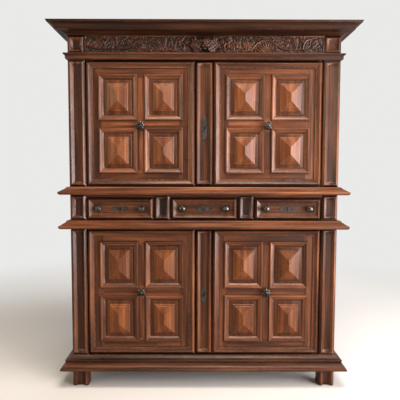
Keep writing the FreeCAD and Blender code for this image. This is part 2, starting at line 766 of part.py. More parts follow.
def make_mouldings():
    lower = ("0.5 * lower_width", "case_depth")
    upper = ("0.5 * lower_width + 0.5 * upper_spread", "case_depth - upper_setback")
    shelf_edge = "plinth_base_overhang - plinth_base_nose - plinth_base_shelf"
    node("plinth_base", wrap_moulding("plinth_base", *lower, "foot_height", [
        ("0", "0"),
        ("plinth_base_overhang - plinth_base_nose", "0", "end level"),
        ("plinth_base_overhang", "plinth_base_nose"),
        ("plinth_base_overhang", "plinth_base_fascia - plinth_base_nose", "start level"),
        ("plinth_base_overhang - plinth_base_nose", "plinth_base_fascia"),
        (shelf_edge, "plinth_base_fascia"),
        (shelf_edge, "plinth_base_fascia + plinth_base_fillet", "start plumb"),
        ("plinth_cap_overhang", "plinth_base_height"),
        ("0", "plinth_base_height"),
    ]))
    node("plinth_cap", wrap_moulding("plinth_cap", *lower, PLINTH_JOINT, [
        ("0", "0"),
        ("plinth_cap_overhang - plinth_cap_quirk", "0"),
        ("plinth_cap_overhang", "plinth_cap_quirk"),
        ("plinth_cap_overhang", "plinth_cap_fascia", "start plumb"),
        ("plinth_cap_top_overhang", "plinth_cap_height"),
        ("0", "plinth_cap_height"),
    ]))
    node("belt_moulding", wrap_moulding("belt_moulding", *lower, BELT_BOTTOM,
                                        ledge_profile("belt_height")))
    node("table_top", group("table_top", [
        block("table_board", (f"-{LOWER_HALF}", LOWER_HALF), (LOWER_FRONT, BACK),
              (TABLE_BOTTOM, TABLE_TOP)),
        wrap_moulding("table_edge", *lower, TABLE_BOTTOM, ledge_profile("table_thickness")),
    ]))
    bead_top = "frieze_moulding_fillet + frieze_moulding_bead"
    node("frieze_moulding", wrap_moulding("frieze_moulding", *upper, DOOR_HEAD, [
        ("0", "0"),
        ("frieze_moulding_fillet", "0"),
        ("frieze_moulding_fillet", "frieze_moulding_fillet"),
        ("frieze_moulding_bead_overhang", "frieze_moulding_fillet"),
        ("frieze_moulding_bead_overhang", bead_top, "start level"),
        ("frieze_moulding_overhang", "frieze_moulding_height - frieze_moulding_fascia"),
        ("frieze_moulding_overhang", "frieze_moulding_height"),
        ("0", "frieze_moulding_height"),
    ]))
    fillet_low = "cornice_cove_height"
    fillet_high = "cornice_cove_height + cornice_fillet_height"
    fascia_low = "cornice_height - cornice_fascia"
    node("cornice", wrap_moulding("cornice", *upper, FRIEZE_TOP, [
        ("-1 * cornice_inner", "0"),
        ("0", "0", "end plumb"),
        ("cornice_cove_overhang", fillet_low),
        ("cornice_fillet_overhang", fillet_low),
        ("cornice_fillet_overhang", fillet_high, "end plumb"),
        ("cornice_overhang - cornice_top_slope", fascia_low),
        ("cornice_overhang", "cornice_height"),
        ("-1 * cornice_inner", "cornice_height"),
    ]))


# Doors

def make_door(name, x, y_front, z, knob_drop):
    """A left-hand door: frame, planted mouldings, and four diamond panels in the grooves."""
    face = f"({y_front} + rib_height)"
    back = f"({face} + frame_thickness)"
    frame_y = (face, back)
    seat = "(moulding_width - moulding_lap)"
    stile = f"({DOOR_RIB} + stile_flat + {seat})"
    rail = f"({DOOR_RIB} + rail_flat + {seat})"
    half_muntin = f"(muntin_width / 2 + {seat})"
    half_mid = f"(mid_rail_width / 2 + {seat})"
    centre_x = middle(x)
    centre_z = middle(z)
    columns = [(f"{x[0]} + {stile}", f"{centre_x} - {half_muntin}"),
               (f"{centre_x} + {half_muntin}", f"{x[1]} - {stile}")]
    rows = [(f"{z[0]} + {rail}", f"{centre_z} - {half_mid}"),
            (f"{centre_z} + {half_mid}", f"{z[1]} - {rail}")]
    between = (columns[0][0], columns[1][1])
    muntin_x = (columns[0][1], columns[1][0])
    members = {
        "hinge_stile": block(name + "_hinge_stile", (x[0], columns[0][0]), frame_y, z),
        "meeting_stile": block(name + "_meeting_stile", (columns[1][1], x[1]), frame_y, z),
        "bottom_rail": block(name + "_bottom_rail", between, frame_y, (z[0], rows[0][0])),
        "mid_rail": block(name + "_mid_rail", between, frame_y, (rows[0][1], rows[1][0])),
        "top_rail": block(name + "_top_rail", between, frame_y, (rows[1][1], z[1])),
        "low_muntin": block(name + "_low_muntin", muntin_x, frame_y, rows[0]),
        "high_muntin": block(name + "_high_muntin", muntin_x, frame_y, rows[1]),
    }
    bore_x = f"{x[0]} + pivot_inset"
    bore_y = f"{face} + pivot_depth"
    bore_depth = "(pivot_reach + door_gap)"
    bores = [rod(name + "_bore_low", bore_x, bore_y, z[0], bore_depth, "pivot_radius + pivot_play"),
             rod(name + "_bore_high", bore_x, bore_y, f"{z[1]} - {bore_depth}", bore_depth,
                 "pivot_radius + pivot_play")]
    groove_y = (f"{face} + moulding_sink", f"{face} + moulding_sink + panel_edge")
    tongue_y = (groove_y[0], f"{groove_y[1]} - panel_play")
    grooves, panels, mouldings = [], [], []
    for column_index, column in enumerate(columns, start=1):
        for row_index, row in enumerate(rows, start=1):
            place = f"{name}_{column_index}_{row_index}"
            grooves.append(block(place + "_groove", shrink(column, "-groove_depth"), groove_y,
                                 shrink(row, "-groove_depth")))
            panels.append(diamond_panel(place, column, row, tongue_y))
            mouldings += panel_moulding(place, column, row, face)
    slots = group(name + "_slots", grooves)
    holes = group(name + "_holes", bores)
    pieces = []
    for word, member in members.items():
        grooved = cut(f"{name}_{word}_grooved", member, slots)
        if word == "hinge_stile":
            grooved = cut(f"{name}_{word}_bored", grooved, holes)
        pieces.append(grooved)
    pieces += edge_rib(name, x, z, face)
    frame = node(name + "_frame", group(name + "_frame", pieces + mouldings))
    board = node(name + "_panels", group(name + "_panels", panels))
    knob = node(name + "_knob", turned_knob(name + "_knob", centre_x, face,
                                            f"({centre_z} - {knob_drop})", "knob", True))
    return frame, board, knob


def edge_rib(name, x, z, face):
    """The rib round a door or a drawer front, with a fillet inside its inner bevel."""
    rib = ring(name + "_rib", x, z, face, "rib_height", "door_bevel_outer", "rib_flat",
               "door_bevel_inner")
    ledge = "(door_bevel_outer + rib_flat)"
    low_x, low_z = shrink(x, ledge), shrink(z, ledge)
    low = block(name + "_fillet_out", low_x, (f"{face} - door_fillet_height", face), low_z)
    gap = "(door_bevel_inner + door_fillet)"
    hole = block(name + "_fillet_in", shrink(low_x, gap),
                 (f"{face} - door_fillet_height", face), shrink(low_z, gap))
    whole = fuse(name + "_edge", [rib, cut(name + "_fillet", low, hole)])
    return mitred(name + "_rib", whole, x, z, (f"{face} - rib_height", face), DOOR_RIB)


def panel_moulding(place, column, row, face):
    """The moulding planted round one panel, lapping over its edge, with a shelf down its slope."""
    sight_x, sight_z = shrink(column, "moulding_lap"), shrink(row, "moulding_lap")
    outer_x, outer_z = shrink(sight_x, "-moulding_width"), shrink(sight_z, "-moulding_width")
    hill = frustum(place + "_hill", outer_x, outer_z, face, "moulding_rise", "moulding_bevel")
    lap = block(place + "_lap", column, (face, f"{face} + moulding_sink"), row)
    shelf_y = f"({face} + moulding_sink - moulding_foot)"
    foot = frustum(place + "_foot", sight_x, sight_z, f"{face} + moulding_sink", "moulding_foot",
                   "-moulding_foot")
    shelf = "(moulding_foot + moulding_shelf)"
    slope = f"(moulding_width - moulding_bevel - moulding_flat - {shelf})"
    head = frustum(place + "_head", shrink(sight_x, f"-{shelf}"), shrink(sight_z, f"-{shelf}"),
                   shelf_y, "moulding_rise + moulding_sink - moulding_foot", f"-{slope}")
    solid = cut(place + "_footed", fuse(place + "_solid", [hill, lap]), foot)
    whole = cut(place + "_moulding", solid, head)
    depth = (f"{face} - moulding_rise", f"{face} + moulding_sink")
    return mitred(place + "_moulding", whole, outer_x, outer_z, depth, "moulding_width")


def diamond_panel(place, column, row, tongue_y):
    """A panel that climbs in two sloping terraces to a hipped diamond, each over a steep step."""
    sight_x, sight_z = shrink(column, "moulding_lap"), shrink(row, "moulding_lap")
    tongue = "-(groove_depth - panel_play)"
    pieces = [block(place + "_plate", shrink(column, tongue), tongue_y, shrink(row, tongue))]
    foot, inset = tongue_y[0], "panel_margin"
    for tier in ("low_terrace", "high_terrace", "diamond"):
        x, z = shrink(sight_x, inset), shrink(sight_z, inset)
        pieces.append(frustum(f"{place}_{tier}_step", x, z, foot, "step_rise", "step_width"))
        x, z = shrink(x, "step_width"), shrink(z, "step_width")
        rise_from = f"({foot} - step_rise)"
        if tier == "diamond":
            pieces.append(hipped(f"{place}_{tier}", x, z, rise_from, "diamond_rise"))
        else:
            pieces.append(frustum(f"{place}_{tier}", x, z, rise_from, f"{tier}_rise",
                                  f"{tier}_width"))
        foot, inset = f"({rise_from} - {tier}_rise)", f"({inset} + step_width + {tier}_width)"
    return fuse(place + "_panel", pieces)


def make_pilaster(name, half, door_x, y_front, z):
    """A false post on the right-hand door, carried by a strip behind its meeting stile."""
    x = (f"-{half}", half)
    face = f"({y_front} + rib_height)"
    back = f"({face} + frame_thickness)"
    tall = shrink(z, "pilaster_end_gap")
    return fuse(name, [
        block(name + "_core", x, (face, back), tall),
        ribbed_face(name + "_rib", "pilaster", x, y_front, tall),
        block(name + "_strip", (x[0], f"{door_x} + pilaster_lap"), (back, f"{back} + pilaster_back"),
              shrink(tall, "pilaster_back_end")),
    ])


def make_doors():
    levels = {
        "upper": (UPPER_OPENING, UPPER_FRONT, TABLE_TOP, DOOR_HEAD, "upper_pilaster_width",
                  "upper_knob_drop"),
        "lower": (LOWER_OPENING, LOWER_FRONT, PLINTH_TOP, BELT_BOTTOM, "lower_pilaster_width", "0"),
    }
    pins = []
    for level, (opening, front, low, high, pilaster_width, knob_drop) in levels.items():
        half = f"({pilaster_width} / 2)"
        door_edge = f"({half} + door_gap)"
        x = (f"-({opening} - door_gap)", f"-{door_edge}")
        z = (f"{low} + door_gap", f"{high} - door_gap")
        parts = make_door(f"{level}_left_door", x, front, z, knob_drop)
        for part, word in zip(parts, ("frame", "panels", "knob")):
            mirror_node(f"{level}_right_door_{word}", part)
        keyway_z = f"({low} + {level}_lock_level)"
        keyway = block(f"{level}_keyway", ("-keyhole_width / 2", "keyhole_width / 2"),
                       (front, f"{front} + post_depth"),
                       (f"{keyway_z} - keyhole_height / 2", f"{keyway_z} + keyhole_height / 2"))
        post = make_pilaster(f"{level}_pilaster", half, door_edge, front, z)
        node(f"{level}_pilaster", cut(f"{level}_pilaster_bored", post, keyway))
        make_door_lock(level, half, front, keyway_z, keyway)
        for word, height, way in (("low", low, 1), ("high", high, -1)):
            pin = pivot(f"{level}_{word}", x, front, height, way)
            pins += [pin, mirrored(f"{level}_{word}_right_pivot", pin)]
    node("pivot_pins", group("pivot_pins", pins))


def pivot(name, x, front, level, way):
    """A pivot on its plate: up from the rail under a door, or down from the rail over it."""
    at_x = f"({x[0]} + pivot_inset)"
    at_y = f"({front} + rib_height + pivot_depth)"
    plate = "(door_gap - seat_play)"
    reach = "(door_gap + pivot_reach)"
    low = level if way > 0 else f"({level} - {reach})"
    plate_z = (level, f"{level} + {plate}") if way > 0 else (f"{level} - {plate}", level)
    half_length = "(pivot_plate_length / 2)"
    half_width = "(pivot_plate_width / 2)"
    return fuse(name + "_pivot", [
        rod(name + "_pin", at_x, at_y, low, reach, "pivot_radius"),
        block(name + "_pivot_plate", (f"{at_x} - {half_length}", f"{at_x} + {half_length}"),
              (f"{at_y} - {half_width}", f"{at_y} + {half_width}"), plate_z),
    ])


# Locks

def bolt_case(name, x, y, z, bolt_x, bolt_z, keyway):
    """A lock case with a channel for its bolt, open where the bolt comes out."""
    case = block(name + "_case", x, y, z)
    bolt_y = shrink(y, f"({span(y)} - bolt_thickness) / 2")
    channel = block(name + "_channel", shrink(bolt_x, "-bolt_play"), shrink(bolt_y, "-bolt_play"),
                    shrink(bolt_z, "-bolt_play"))
    return cut(name + "_keyed", cut(name + "_hollowed", case, channel), keyway), bolt_y


def make_door_lock(level, half, front, key_z, keyway):
    name = f"{level}_lock"
    ground = f"({front} + rib_height)"
    back = f"({ground} + frame_thickness + pilaster_back)"
    case_x = (f"-{half}", f"-{half} + lock_width")
    case_y = (back, f"{back} + lock_depth")
    case_z = (f"{key_z} - lock_height / 2", f"{key_z} + lock_height / 2")
    bolt_x = (case_x[0], f"{case_x[0]} + bolt_length")
    bolt_z = (f"{key_z} + bolt_level", f"{key_z} + bolt_level + bolt_width")
    case, bolt_y = bolt_case(name, case_x, case_y, case_z, bolt_x, bolt_z, keyway)
    plate = lock_plate(name + "_plate", "0", ground, key_z, f"0.5 * {level}_plate_width",
                       f"0.5 * {level}_plate_length", False)
    node(name, group(name, [plate, case]))
    node(name + "_bolt", block(name + "_bolt", bolt_x, bolt_y, bolt_z))


def make_drawer_lock(name, centre, ground, back, key_z, top, keyway):
    case_x = (f"{centre} - lock_width / 2", f"{centre} + lock_width / 2")
    case_y = (back, f"{back} + lock_depth")
    case_z = (f"{top} - drawer_lock_height", top)
    bolt_x = (f"{centre} + bolt_level - bolt_width / 2", f"{centre} + bolt_level + bolt_width / 2")
    bolt_z = (f"{top} - drawer_lock_height / 2", top)
    case, bolt_y = bolt_case(name, case_x, case_y, case_z, bolt_x, bolt_z, keyway)
    plate = lock_plate(name + "_plate", centre, ground, key_z, "0.5 * drawer_plate_width",
                       "0.5 * drawer_plate_length", True)
    lock = node(name, group(name, [plate, case]))
    bolt = node(name.replace("_lock", "_bolt"), block(name + "_bolt", bolt_x, bolt_y, bolt_z))
    return lock, bolt


# Drawers

def make_drawer(name, x):
    """A drawer with a ribbed front, and a box that runs back from it."""
    z = (DRAWER_BOTTOM, f"{DRAWER_BOTTOM} + drawer_height")
    face = f"({LOWER_FRONT} + rib_height)"
    back = f"({face} + frame_thickness)"
    centre = middle(x)
    key_z = middle(z)
    keyway = block(name + "_keyway", (f"{centre} - keyhole_width / 2", f"{centre} + keyhole_width / 2"),
                   (LOWER_FRONT, f"{LOWER_FRONT} + post_depth"),
                   (f"{key_z} - keyhole_height / 2", f"{key_z} + keyhole_height / 2"))
    slab = cut(name + "_slab_bored", block(name + "_slab", x, (face, back), z), keyway)
    front = node(name + "_front", group(name + "_front", [slab] + edge_rib(name, x, z, face)))
    outer = shrink(x, "drawer_side_inset")
    inner = shrink(outer, "drawer_side")
    run = (back, f"{INNER_BACK} - drawer_back_gap")
    tall = (z[0], f"{z[0]} + drawer_side_height")
    floor_z = (f"{z[0]} + drawer_bottom_raise",
               f"{z[0]} + drawer_bottom_raise + drawer_bottom_thickness")
    box = node(name + "_box", group(name + "_box", [
        block(name + "_left_side", (outer[0], inner[0]), run, tall),
        block(name + "_right_side", (inner[1], outer[1]), run, tall),
        block(name + "_back", inner, (f"{run[1]} - drawer_side", run[1]),
              (floor_z[1], f"{tall[1]} - drawer_back_drop")),
        block(name + "_bottom", inner, run, floor_z),
    ]))
    knobs = node(name + "_knobs", group(name + "_knobs", [
        turned_knob(name + "_left_knob", f"{x[0]} + pull_inset", face, key_z, "pull", False),
        turned_knob(name + "_right_knob", f"{x[1]} - pull_inset", face, key_z, "pull", False),
    ]))
    lock, bolt = make_drawer_lock(name + "_lock", centre, face, back, key_z, z[1], keyway)
    return {"front": front, "box": box, "knobs": knobs, "lock": lock, "bolt": bolt}


def make_drawers():
    width = f"((2 * {LOWER_OPENING} - 2 * divider_width - 6 * drawer_side_gap) / 3)"
    divider_in = f"({width} / 2 + drawer_side_gap)"
    divider_out = f"({divider_in} + divider_width)"
    left_x = (f"-({LOWER_OPENING} - drawer_side_gap)", f"-({divider_out} + drawer_side_gap)")
    centre_x = (f"-{width} / 2", f"{width} / 2")
    for word, part in make_drawer("drawer_left", left_x).items():
        mirror_node(f"drawer_right_{word}", part)
    make_drawer("drawer_centre", centre_x)
    divider = ribbed_post("divider_left", (f"-{divider_out}", f"-{divider_in}"), LOWER_FRONT,
                          (BELT_TOP, TABLE_BOTTOM), [(BELT_TOP, TABLE_BOTTOM)], [])
    clear = block("divider_notch", (f"-{divider_out}", f"-{divider_in}"),
                  (f"{LOWER_FRONT} + top_rail_setback",
                   f"{LOWER_FRONT} + top_rail_setback + top_rail_depth"),
                  (TOP_RAIL_BOTTOM, TABLE_BOTTOM))
    notched = cut("divider_left_notched", divider, clear)
    node("drawer_dividers", group("drawer_dividers", [notched, mirrored("divider_right", notched)]))
    make_runners(left_x, centre_x)


def make_runners(left_x, centre_x):
    """Runners under the drawer sides, and the guides that keep the drawers straight."""
    behind = (f"{LOWER_FRONT} + post_depth", INNER_BACK)
    runner_z = (DUST_TOP, f"{DRAWER_BOTTOM} - seat_play")
    guide_z = (DUST_TOP, f"{DUST_TOP} + guide_height")
    left_out = shrink(left_x, "drawer_side_inset")
    centre_out = shrink(centre_x, "drawer_side_inset")
    inner = f"({LOWER_HALF} - side_thickness)"
    side_guide = (f"-{inner}", f"{left_out[0]} - guide_play")
    middle_guide = (f"{left_out[1]} + guide_play", f"{centre_out[0]} - guide_play")
    pieces = [
        block("guide_side", side_guide, behind, guide_z),
        block("guide_middle", middle_guide, behind, guide_z),
        block("runner_outer", (side_guide[1], f"{side_guide[1]} + runner_width"), behind, runner_z),
        block("runner_inner", (f"{middle_guide[0]} - runner_width", middle_guide[0]), behind,
              runner_z),
        block("runner_centre", (middle_guide[1], f"{middle_guide[1]} + runner_width"), behind,
              runner_z),
    ]
    twins = [mirrored(f"{piece.Name}_right", piece) for piece in pieces]
    node("drawer_runners", group("drawer_runners", pieces + twins))


make_posts()
make_lower_case()
make_upper_case()
make_mouldings()
make_doors()
make_drawers()
doc.recompute()

failed = [thing.Label for thing in doc.Objects if {"Invalid", "Error"} & set(thing.State)]
if failed:
    raise RuntimeError(f"these did not build: {failed}")
for name, thing in nodes.items():
    if thing.Shape.isNull() or not thing.Shape.isValid():
        raise RuntimeError(f"{name} has no sound shape")
for name, thing in nodes.items():
    thing.Shape.exportStep(f"parts/{name}.step")
    solids = thing.Shape.Solids
    print(f"{name}: {len(solids)} solids, {sum(solid.Volume for solid in solids) / 1e6:.3f} litres")
box = Part.makeCompound([thing.Shape for thing in nodes.values()]).BoundBox
print(f"{len(nodes)} nodes, x {box.XMin:.1f} to {box.XMax:.1f}, y {box.YMin:.1f} to {box.YMax:.1f}, "
      f"z {box.ZMin:.1f} to {box.ZMax:.1f}")
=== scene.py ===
# %% [markdown]
# # Court cupboard in walnut
#
# The cupboard comes in as a imported CAD model: every board, moulding, panel, hinge and lock is
# already in its place. CAD edges are razor sharp and its faces are bare, so this lesson finishes
# the boards as a joiner would: arrises are eased, the grain runs along each board, the frieze is
# carved, the knobs are forged, and three hundred years of wax and dust go on last, with painted
# shade in the hollows and painted highlights on the arrises. Nothing is moved, so the doors and
# drawers still work.

# %% The imported model
import json
import math
import random

import bmesh
import bpy
from mathutils import Matrix, Vector


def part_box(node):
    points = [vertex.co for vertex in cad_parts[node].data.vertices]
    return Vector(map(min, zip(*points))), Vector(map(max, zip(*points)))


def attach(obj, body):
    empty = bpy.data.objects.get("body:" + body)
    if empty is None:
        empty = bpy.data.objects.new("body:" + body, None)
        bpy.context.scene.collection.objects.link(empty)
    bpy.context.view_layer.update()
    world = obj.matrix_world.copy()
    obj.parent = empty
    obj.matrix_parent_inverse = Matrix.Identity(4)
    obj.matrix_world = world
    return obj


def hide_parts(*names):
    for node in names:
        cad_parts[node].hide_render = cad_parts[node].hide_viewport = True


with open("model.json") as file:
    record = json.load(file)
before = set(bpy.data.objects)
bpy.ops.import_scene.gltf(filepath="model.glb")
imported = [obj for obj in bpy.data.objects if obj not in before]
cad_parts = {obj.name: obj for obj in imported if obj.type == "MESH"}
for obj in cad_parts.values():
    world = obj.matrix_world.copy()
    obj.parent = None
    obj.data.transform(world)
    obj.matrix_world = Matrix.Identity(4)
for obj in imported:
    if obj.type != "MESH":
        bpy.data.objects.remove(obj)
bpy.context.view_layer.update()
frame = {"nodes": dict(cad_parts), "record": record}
MM = 0.001

# %% [markdown]
# ## The camera
#
# The photographer stood almost square to the doors, a little left of the middle, with the lens at
# the height of the table top and tipped down slightly. A camera is placed by a matrix: turn it
# about the vertical, tip it up from looking at the floor, roll it about its own axis, and then move
# it to where it stands.

# %% Camera where the photographer stood
CAMERA_PLACE = Vector((-0.0333, -2.9035, 1.3299))
CAMERA_YAW, CAMERA_PITCH, CAMERA_ROLL = -0.0034, 0.0656, 0.0021
SENSOR_WIDTH = 36.0
FOCAL_LENGTH = 39.9
FARTHEST_SEEN = 200

lens = bpy.data.cameras.new("camera")
lens.sensor_width = SENSOR_WIDTH
lens.lens = FOCAL_LENGTH
lens.clip_end = FARTHEST_SEEN
camera = bpy.data.objects.new("camera", lens)
bpy.context.scene.collection.objects.link(camera)
camera.matrix_world = (
    Matrix.Translation(CAMERA_PLACE)
    @ Matrix.Rotation(CAMERA_YAW, 4, "Z")
    @ Matrix.Rotation(math.radians(90) - CAMERA_PITCH, 4, "X")
    @ Matrix.Rotation(CAMERA_ROLL, 4, "Z")
)
bpy.context.scene.camera = camera
print(f"camera {FOCAL_LENGTH} mm at {tuple(CAMERA_PLACE)}")

# %% [markdown]
# ## Helpers for materials
#
# A material is a tree of nodes, and clicking one together in Python takes a line for each node,
# setting and wire. A few short helpers keep such trees readable: each makes one node, fills its
# inputs with sockets or plain values, and hands back the output that the next node needs.

# %% Helpers for node trees
def add(tree, kind, wires=None, **settings):
    """A node with its settings, and its inputs filled by sockets or plain values."""
    made = tree.nodes.new(kind)
    for word, value in settings.items():
        setattr(made, word, value)
    for place, source in (wires or {}).items():
        if isinstance(source, bpy.types.NodeSocket):
            tree.links.new(source, made.inputs[place])
        else:
            made.inputs[place].default_value = source
    return made


def maths(tree, operation, first, second=0.0, clamp=False):
    """One sum, such as ADD or MULTIPLY, held to 0..1 if clamp is set."""
    return add(tree, "ShaderNodeMath", {0: first, 1: second},
               operation=operation, use_clamp=clamp).outputs[0]


def ramp(tree, source, low, high, bottom=0.0, top=1.0):
    """Source taken from low..high to bottom..top, and held there."""
    return add(tree, "ShaderNodeMapRange",
               {"Value": source, "From Min": low, "From Max": high,
                "To Min": bottom, "To Max": top},
               interpolation_type="SMOOTHSTEP").outputs["Result"]


def colour_mix(tree, share, first, second):
    """First where share is 0, second where it is 1. Each may be a socket or a plain value."""
    return add(tree, "ShaderNodeMix", {0: share, 6: first, 7: second}, data_type="RGBA").outputs[2]


def colour(red, green, blue):
    """A colour as Blender's sockets take it, with full strength as its fourth number."""
    return (red, green, blue, 1.0)


# %% [markdown]
# ## Floor and light
#
# A photographer's paper floor is wide, pale and dull. The world is given the same paleness where
# the camera looks straight at it, so that no horizon shows, and polish and iron mirror a part of
# it. The paper could be a curved sheet behind the cupboard, but a flat floor that fades into the
# background looks right from every side. What the floor throws back on the wood is weaker than what
# the eye sees, as a real studio keeps it.

# %% Pale floor
FLOOR_SPREAD = 60.0
PAPER_SEEN = colour(0.80, 0.79, 0.77)
PAPER_BOUNCE = colour(0.20, 0.165, 0.135)
PAPER_ROUGHNESS = 0.9
SKY_SEEN = colour(0.82, 0.82, 0.81)
FADE_FROM, FADE_TO = 1.5, 4.4
MIRRORED = 0.3


def pale_share(tree):
    """One for rays from the eye or through glass, less for those that gloss has mirrored."""
    ray = add(tree, "ShaderNodeLightPath")
    direct = maths(tree, "MAXIMUM",
                   ray.outputs["Is Camera Ray"], ray.outputs["Is Transmission Ray"])
    mirrored = maths(tree, "MULTIPLY", ray.outputs["Is Glossy Ray"], MIRRORED)
    return maths(tree, "MAXIMUM", direct, mirrored)


floor_shape = bmesh.new()
bmesh.ops.create_grid(floor_shape, x_segments=1, y_segments=1, size=FLOOR_SPREAD)
floor_mesh = bpy.data.meshes.new("floor")
floor_shape.to_mesh(floor_mesh)
floor_shape.free()
floor = bpy.data.objects.new("floor", floor_mesh)
bpy.context.scene.collection.objects.link(floor)

paper = bpy.data.materials.new("floor paper")
paper.use_nodes = True
roll = paper.node_tree
dull = roll.nodes["Principled BSDF"]
dull.inputs["Roughness"].default_value = PAPER_ROUGHNESS
seen = pale_share(roll)
roll.links.new(colour_mix(roll, seen, PAPER_BOUNCE, PAPER_SEEN), dull.inputs["Base Color"])
underfoot = add(roll, "ShaderNodeTexCoord").outputs["Object"]
from_middle = add(roll, "ShaderNodeVectorMath", {0: underfoot}, operation="LENGTH").outputs["Value"]
sweep = add(roll, "ShaderNodeEmission", {"Color": SKY_SEEN})
faded = maths(roll, "MULTIPLY", ramp(roll, from_middle, FADE_FROM, FADE_TO), seen)
blended = add(roll, "ShaderNodeMixShader",
              {0: faded, 1: dull.outputs["BSDF"], 2: sweep.outputs["Emission"]})
roll.links.new(blended.outputs["Shader"], roll.nodes["Material Output"].inputs["Surface"])
floor_mesh.materials.append(paper)
print(f"floor {2 * FLOOR_SPREAD:.0f} m across")

# %% World: a pale background for the eye, a weaker grey for the light
SKY_LIGHT = colour(0.92, 0.93, 1.0)
SKY_STRENGTH = 0.12

world = bpy.data.worlds.new("studio")
bpy.context.scene.world = world
world.use_nodes = True
sky = world.node_tree
sky.nodes.clear()
sky_lit = add(sky, "ShaderNodeBackground", {"Color": SKY_LIGHT, "Strength": SKY_STRENGTH})
sky_seen = add(sky, "ShaderNodeBackground", {"Color": SKY_SEEN})
sky_mix = add(sky, "ShaderNodeMixShader", {0: pale_share(sky), 1: sky_lit.outputs["Background"],
                                           2: sky_seen.outputs["Background"]})
add(sky, "ShaderNodeOutputWorld", {"Surface": sky_mix.outputs["Shader"]})
bpy.context.scene.view_settings.view_transform = "Standard"
print(f"world: {len(sky.nodes)} nodes")

# %% [markdown]
# ## Lamps
#
# Every slope that faces right is bright and cool in the photograph, and the left ones are dim and
# warm. So a tall, wide lamp stands on the right, with a low one beneath it for the lower doors, and
# a weak warm one far to the left. The wider a lamp, the softer its highlight on wax. One overhead
# lamp lights the upper slopes of the mouldings, and one behind keeps the back readable.

# %% Lamps
LOOK_AT = Vector((0.0, -0.2, 1.1))
DAYLIGHT, WARM = (1.0, 0.94, 0.93), (1.0, 0.74, 0.46)
CEILING, BEHIND = (1.0, 0.90, 0.78), (1.0, 0.97, 0.94)


def lamp(name, place, wide, tall, power, tint):
    """A soft lamp, as wide and tall as given, that faces the cupboard."""
    light = bpy.data.lights.new(name, "AREA")
    light.shape = "RECTANGLE"
    light.size, light.size_y = wide, tall
    light.energy = power
    light.color = tint
    stand = bpy.data.objects.new(name, light)
    bpy.context.scene.collection.objects.link(stand)
    stand.matrix_world = (
        Matrix.Translation(place)
        @ (LOOK_AT - Vector(place)).to_track_quat("-Z", "Y").to_matrix().to_4x4()
    )


lamp("tall side light", (3.9, -2.6, 1.6), 3.8, 2.9, 360, DAYLIGHT)
lamp("low side light", (3.9, -0.95, 0.7), 2.0, 1.2, 85, DAYLIGHT)
lamp("warm fill", (-4.6, -2.6, 2.6), 1.8, 1.8, 85, WARM)
lamp("overhead", (0.5, -1.7, 4.8), 2.4, 1.2, 160, CEILING)
lamp("back fill", (0.5, 4.2, 2.6), 2.6, 2.6, 90, BEHIND)

# %% [markdown]
# ## Wood, built from shared effects
#
# Real boards are sawn from logs, so the figure is solid: it runs through the board and comes out at
# the end. A flat picture of wood can't do that. Here each board carries its own coordinates, with X
# along the grain and an offset that says where in the log it was sawn. A node group turns them into
# the slow streaks, the growth rings and the fine pores. A second group finds the corners and
# recesses, where dust and old wax have gathered and shade is painted, and the arrises, worn by
# hands and given a painted highlight. Each material mixes the same masks with its own colours.

# %% Helpers for shader groups
FLOAT, VECTOR = "NodeSocketFloat", "NodeSocketVector"


def stretched(tree, vector, scale):
    """A vector with each of its three parts scaled by itself."""
    return add(tree, "ShaderNodeVectorMath", {0: vector, 1: scale}, operation="MULTIPLY").outputs[0]


def noise(tree, vector, scale=1.0, detail=2.0, roughness=0.5):
    """Soft random clouds, finer with a larger scale and crisper with more detail."""
    return add(tree, "ShaderNodeTexNoise",
               {"Vector": vector, "Scale": scale, "Detail": detail, "Roughness": roughness})


def new_group(name, inputs, outputs):
    """An empty shader group with named sockets; returns its tree and its two end nodes."""
    tree = bpy.data.node_groups.new(name, "ShaderNodeTree")
    for word, (kind, value) in inputs.items():
        tree.interface.new_socket(word, in_out="INPUT", socket_type=kind).default_value = value
    for word in outputs:
        tree.interface.new_socket(word, in_out="OUTPUT", socket_type=FLOAT)
    return tree, tree.nodes.new("NodeGroupInput"), tree.nodes.new("NodeGroupOutput")


def put_out(tree, end, masks):
    """Wires the masks to the group's outputs of the same names."""
    for word, source in masks.items():
        tree.links.new(source, end.inputs[word])
    print(f"{tree.name}: {len(tree.nodes)} nodes, puts out {', '.join(masks)}")


# %% Group: the figure of the wood
BEND_STRETCH, STREAK_STRETCH = (1.6, 7.0, 7.0), (1.8, 34.0, 34.0)
PORE_STRETCH, ACROSS_ONLY = (26.0, 900.0, 900.0), (0.0, 1.0, 1.0)
STREAK_HEIGHT, PORE_DEPTH = 0.35, 0.65

figure_group, figure_in, figure_out = new_group(
    "wood figure",
    {"Along": (VECTOR, (0, 0, 0)), "Ring Width": (FLOAT, 0.006), "Waviness": (FLOAT, 0.012)},
    ("Streaks", "Rings", "Pores", "Height"),
)
along = figure_in.outputs["Along"]
bend = noise(figure_group, stretched(figure_group, along, BEND_STRETCH)).outputs["Color"]
sway = add(figure_group, "ShaderNodeVectorMath",
           {0: bend, 1: (0.5, 0.5, 0.5)}, operation="SUBTRACT").outputs[0]
sway = add(figure_group, "ShaderNodeVectorMath",
           {0: sway, "Scale": figure_in.outputs["Waviness"]}, operation="SCALE").outputs[0]
swayed = add(figure_group, "ShaderNodeVectorMath", {0: along, 1: sway}, operation="ADD").outputs[0]
streaks = noise(figure_group, stretched(figure_group, swayed, STREAK_STRETCH),
                1.0, 5.0, 0.55).outputs["Fac"]
radius = add(figure_group, "ShaderNodeVectorMath",
             {0: stretched(figure_group, swayed, ACROSS_ONLY)}, operation="LENGTH").outputs["Value"]
turns = maths(figure_group, "DIVIDE", radius, figure_in.outputs["Ring Width"])
rings = ramp(figure_group, maths(figure_group, "PINGPONG", turns, 0.5), 0.10, 0.5)
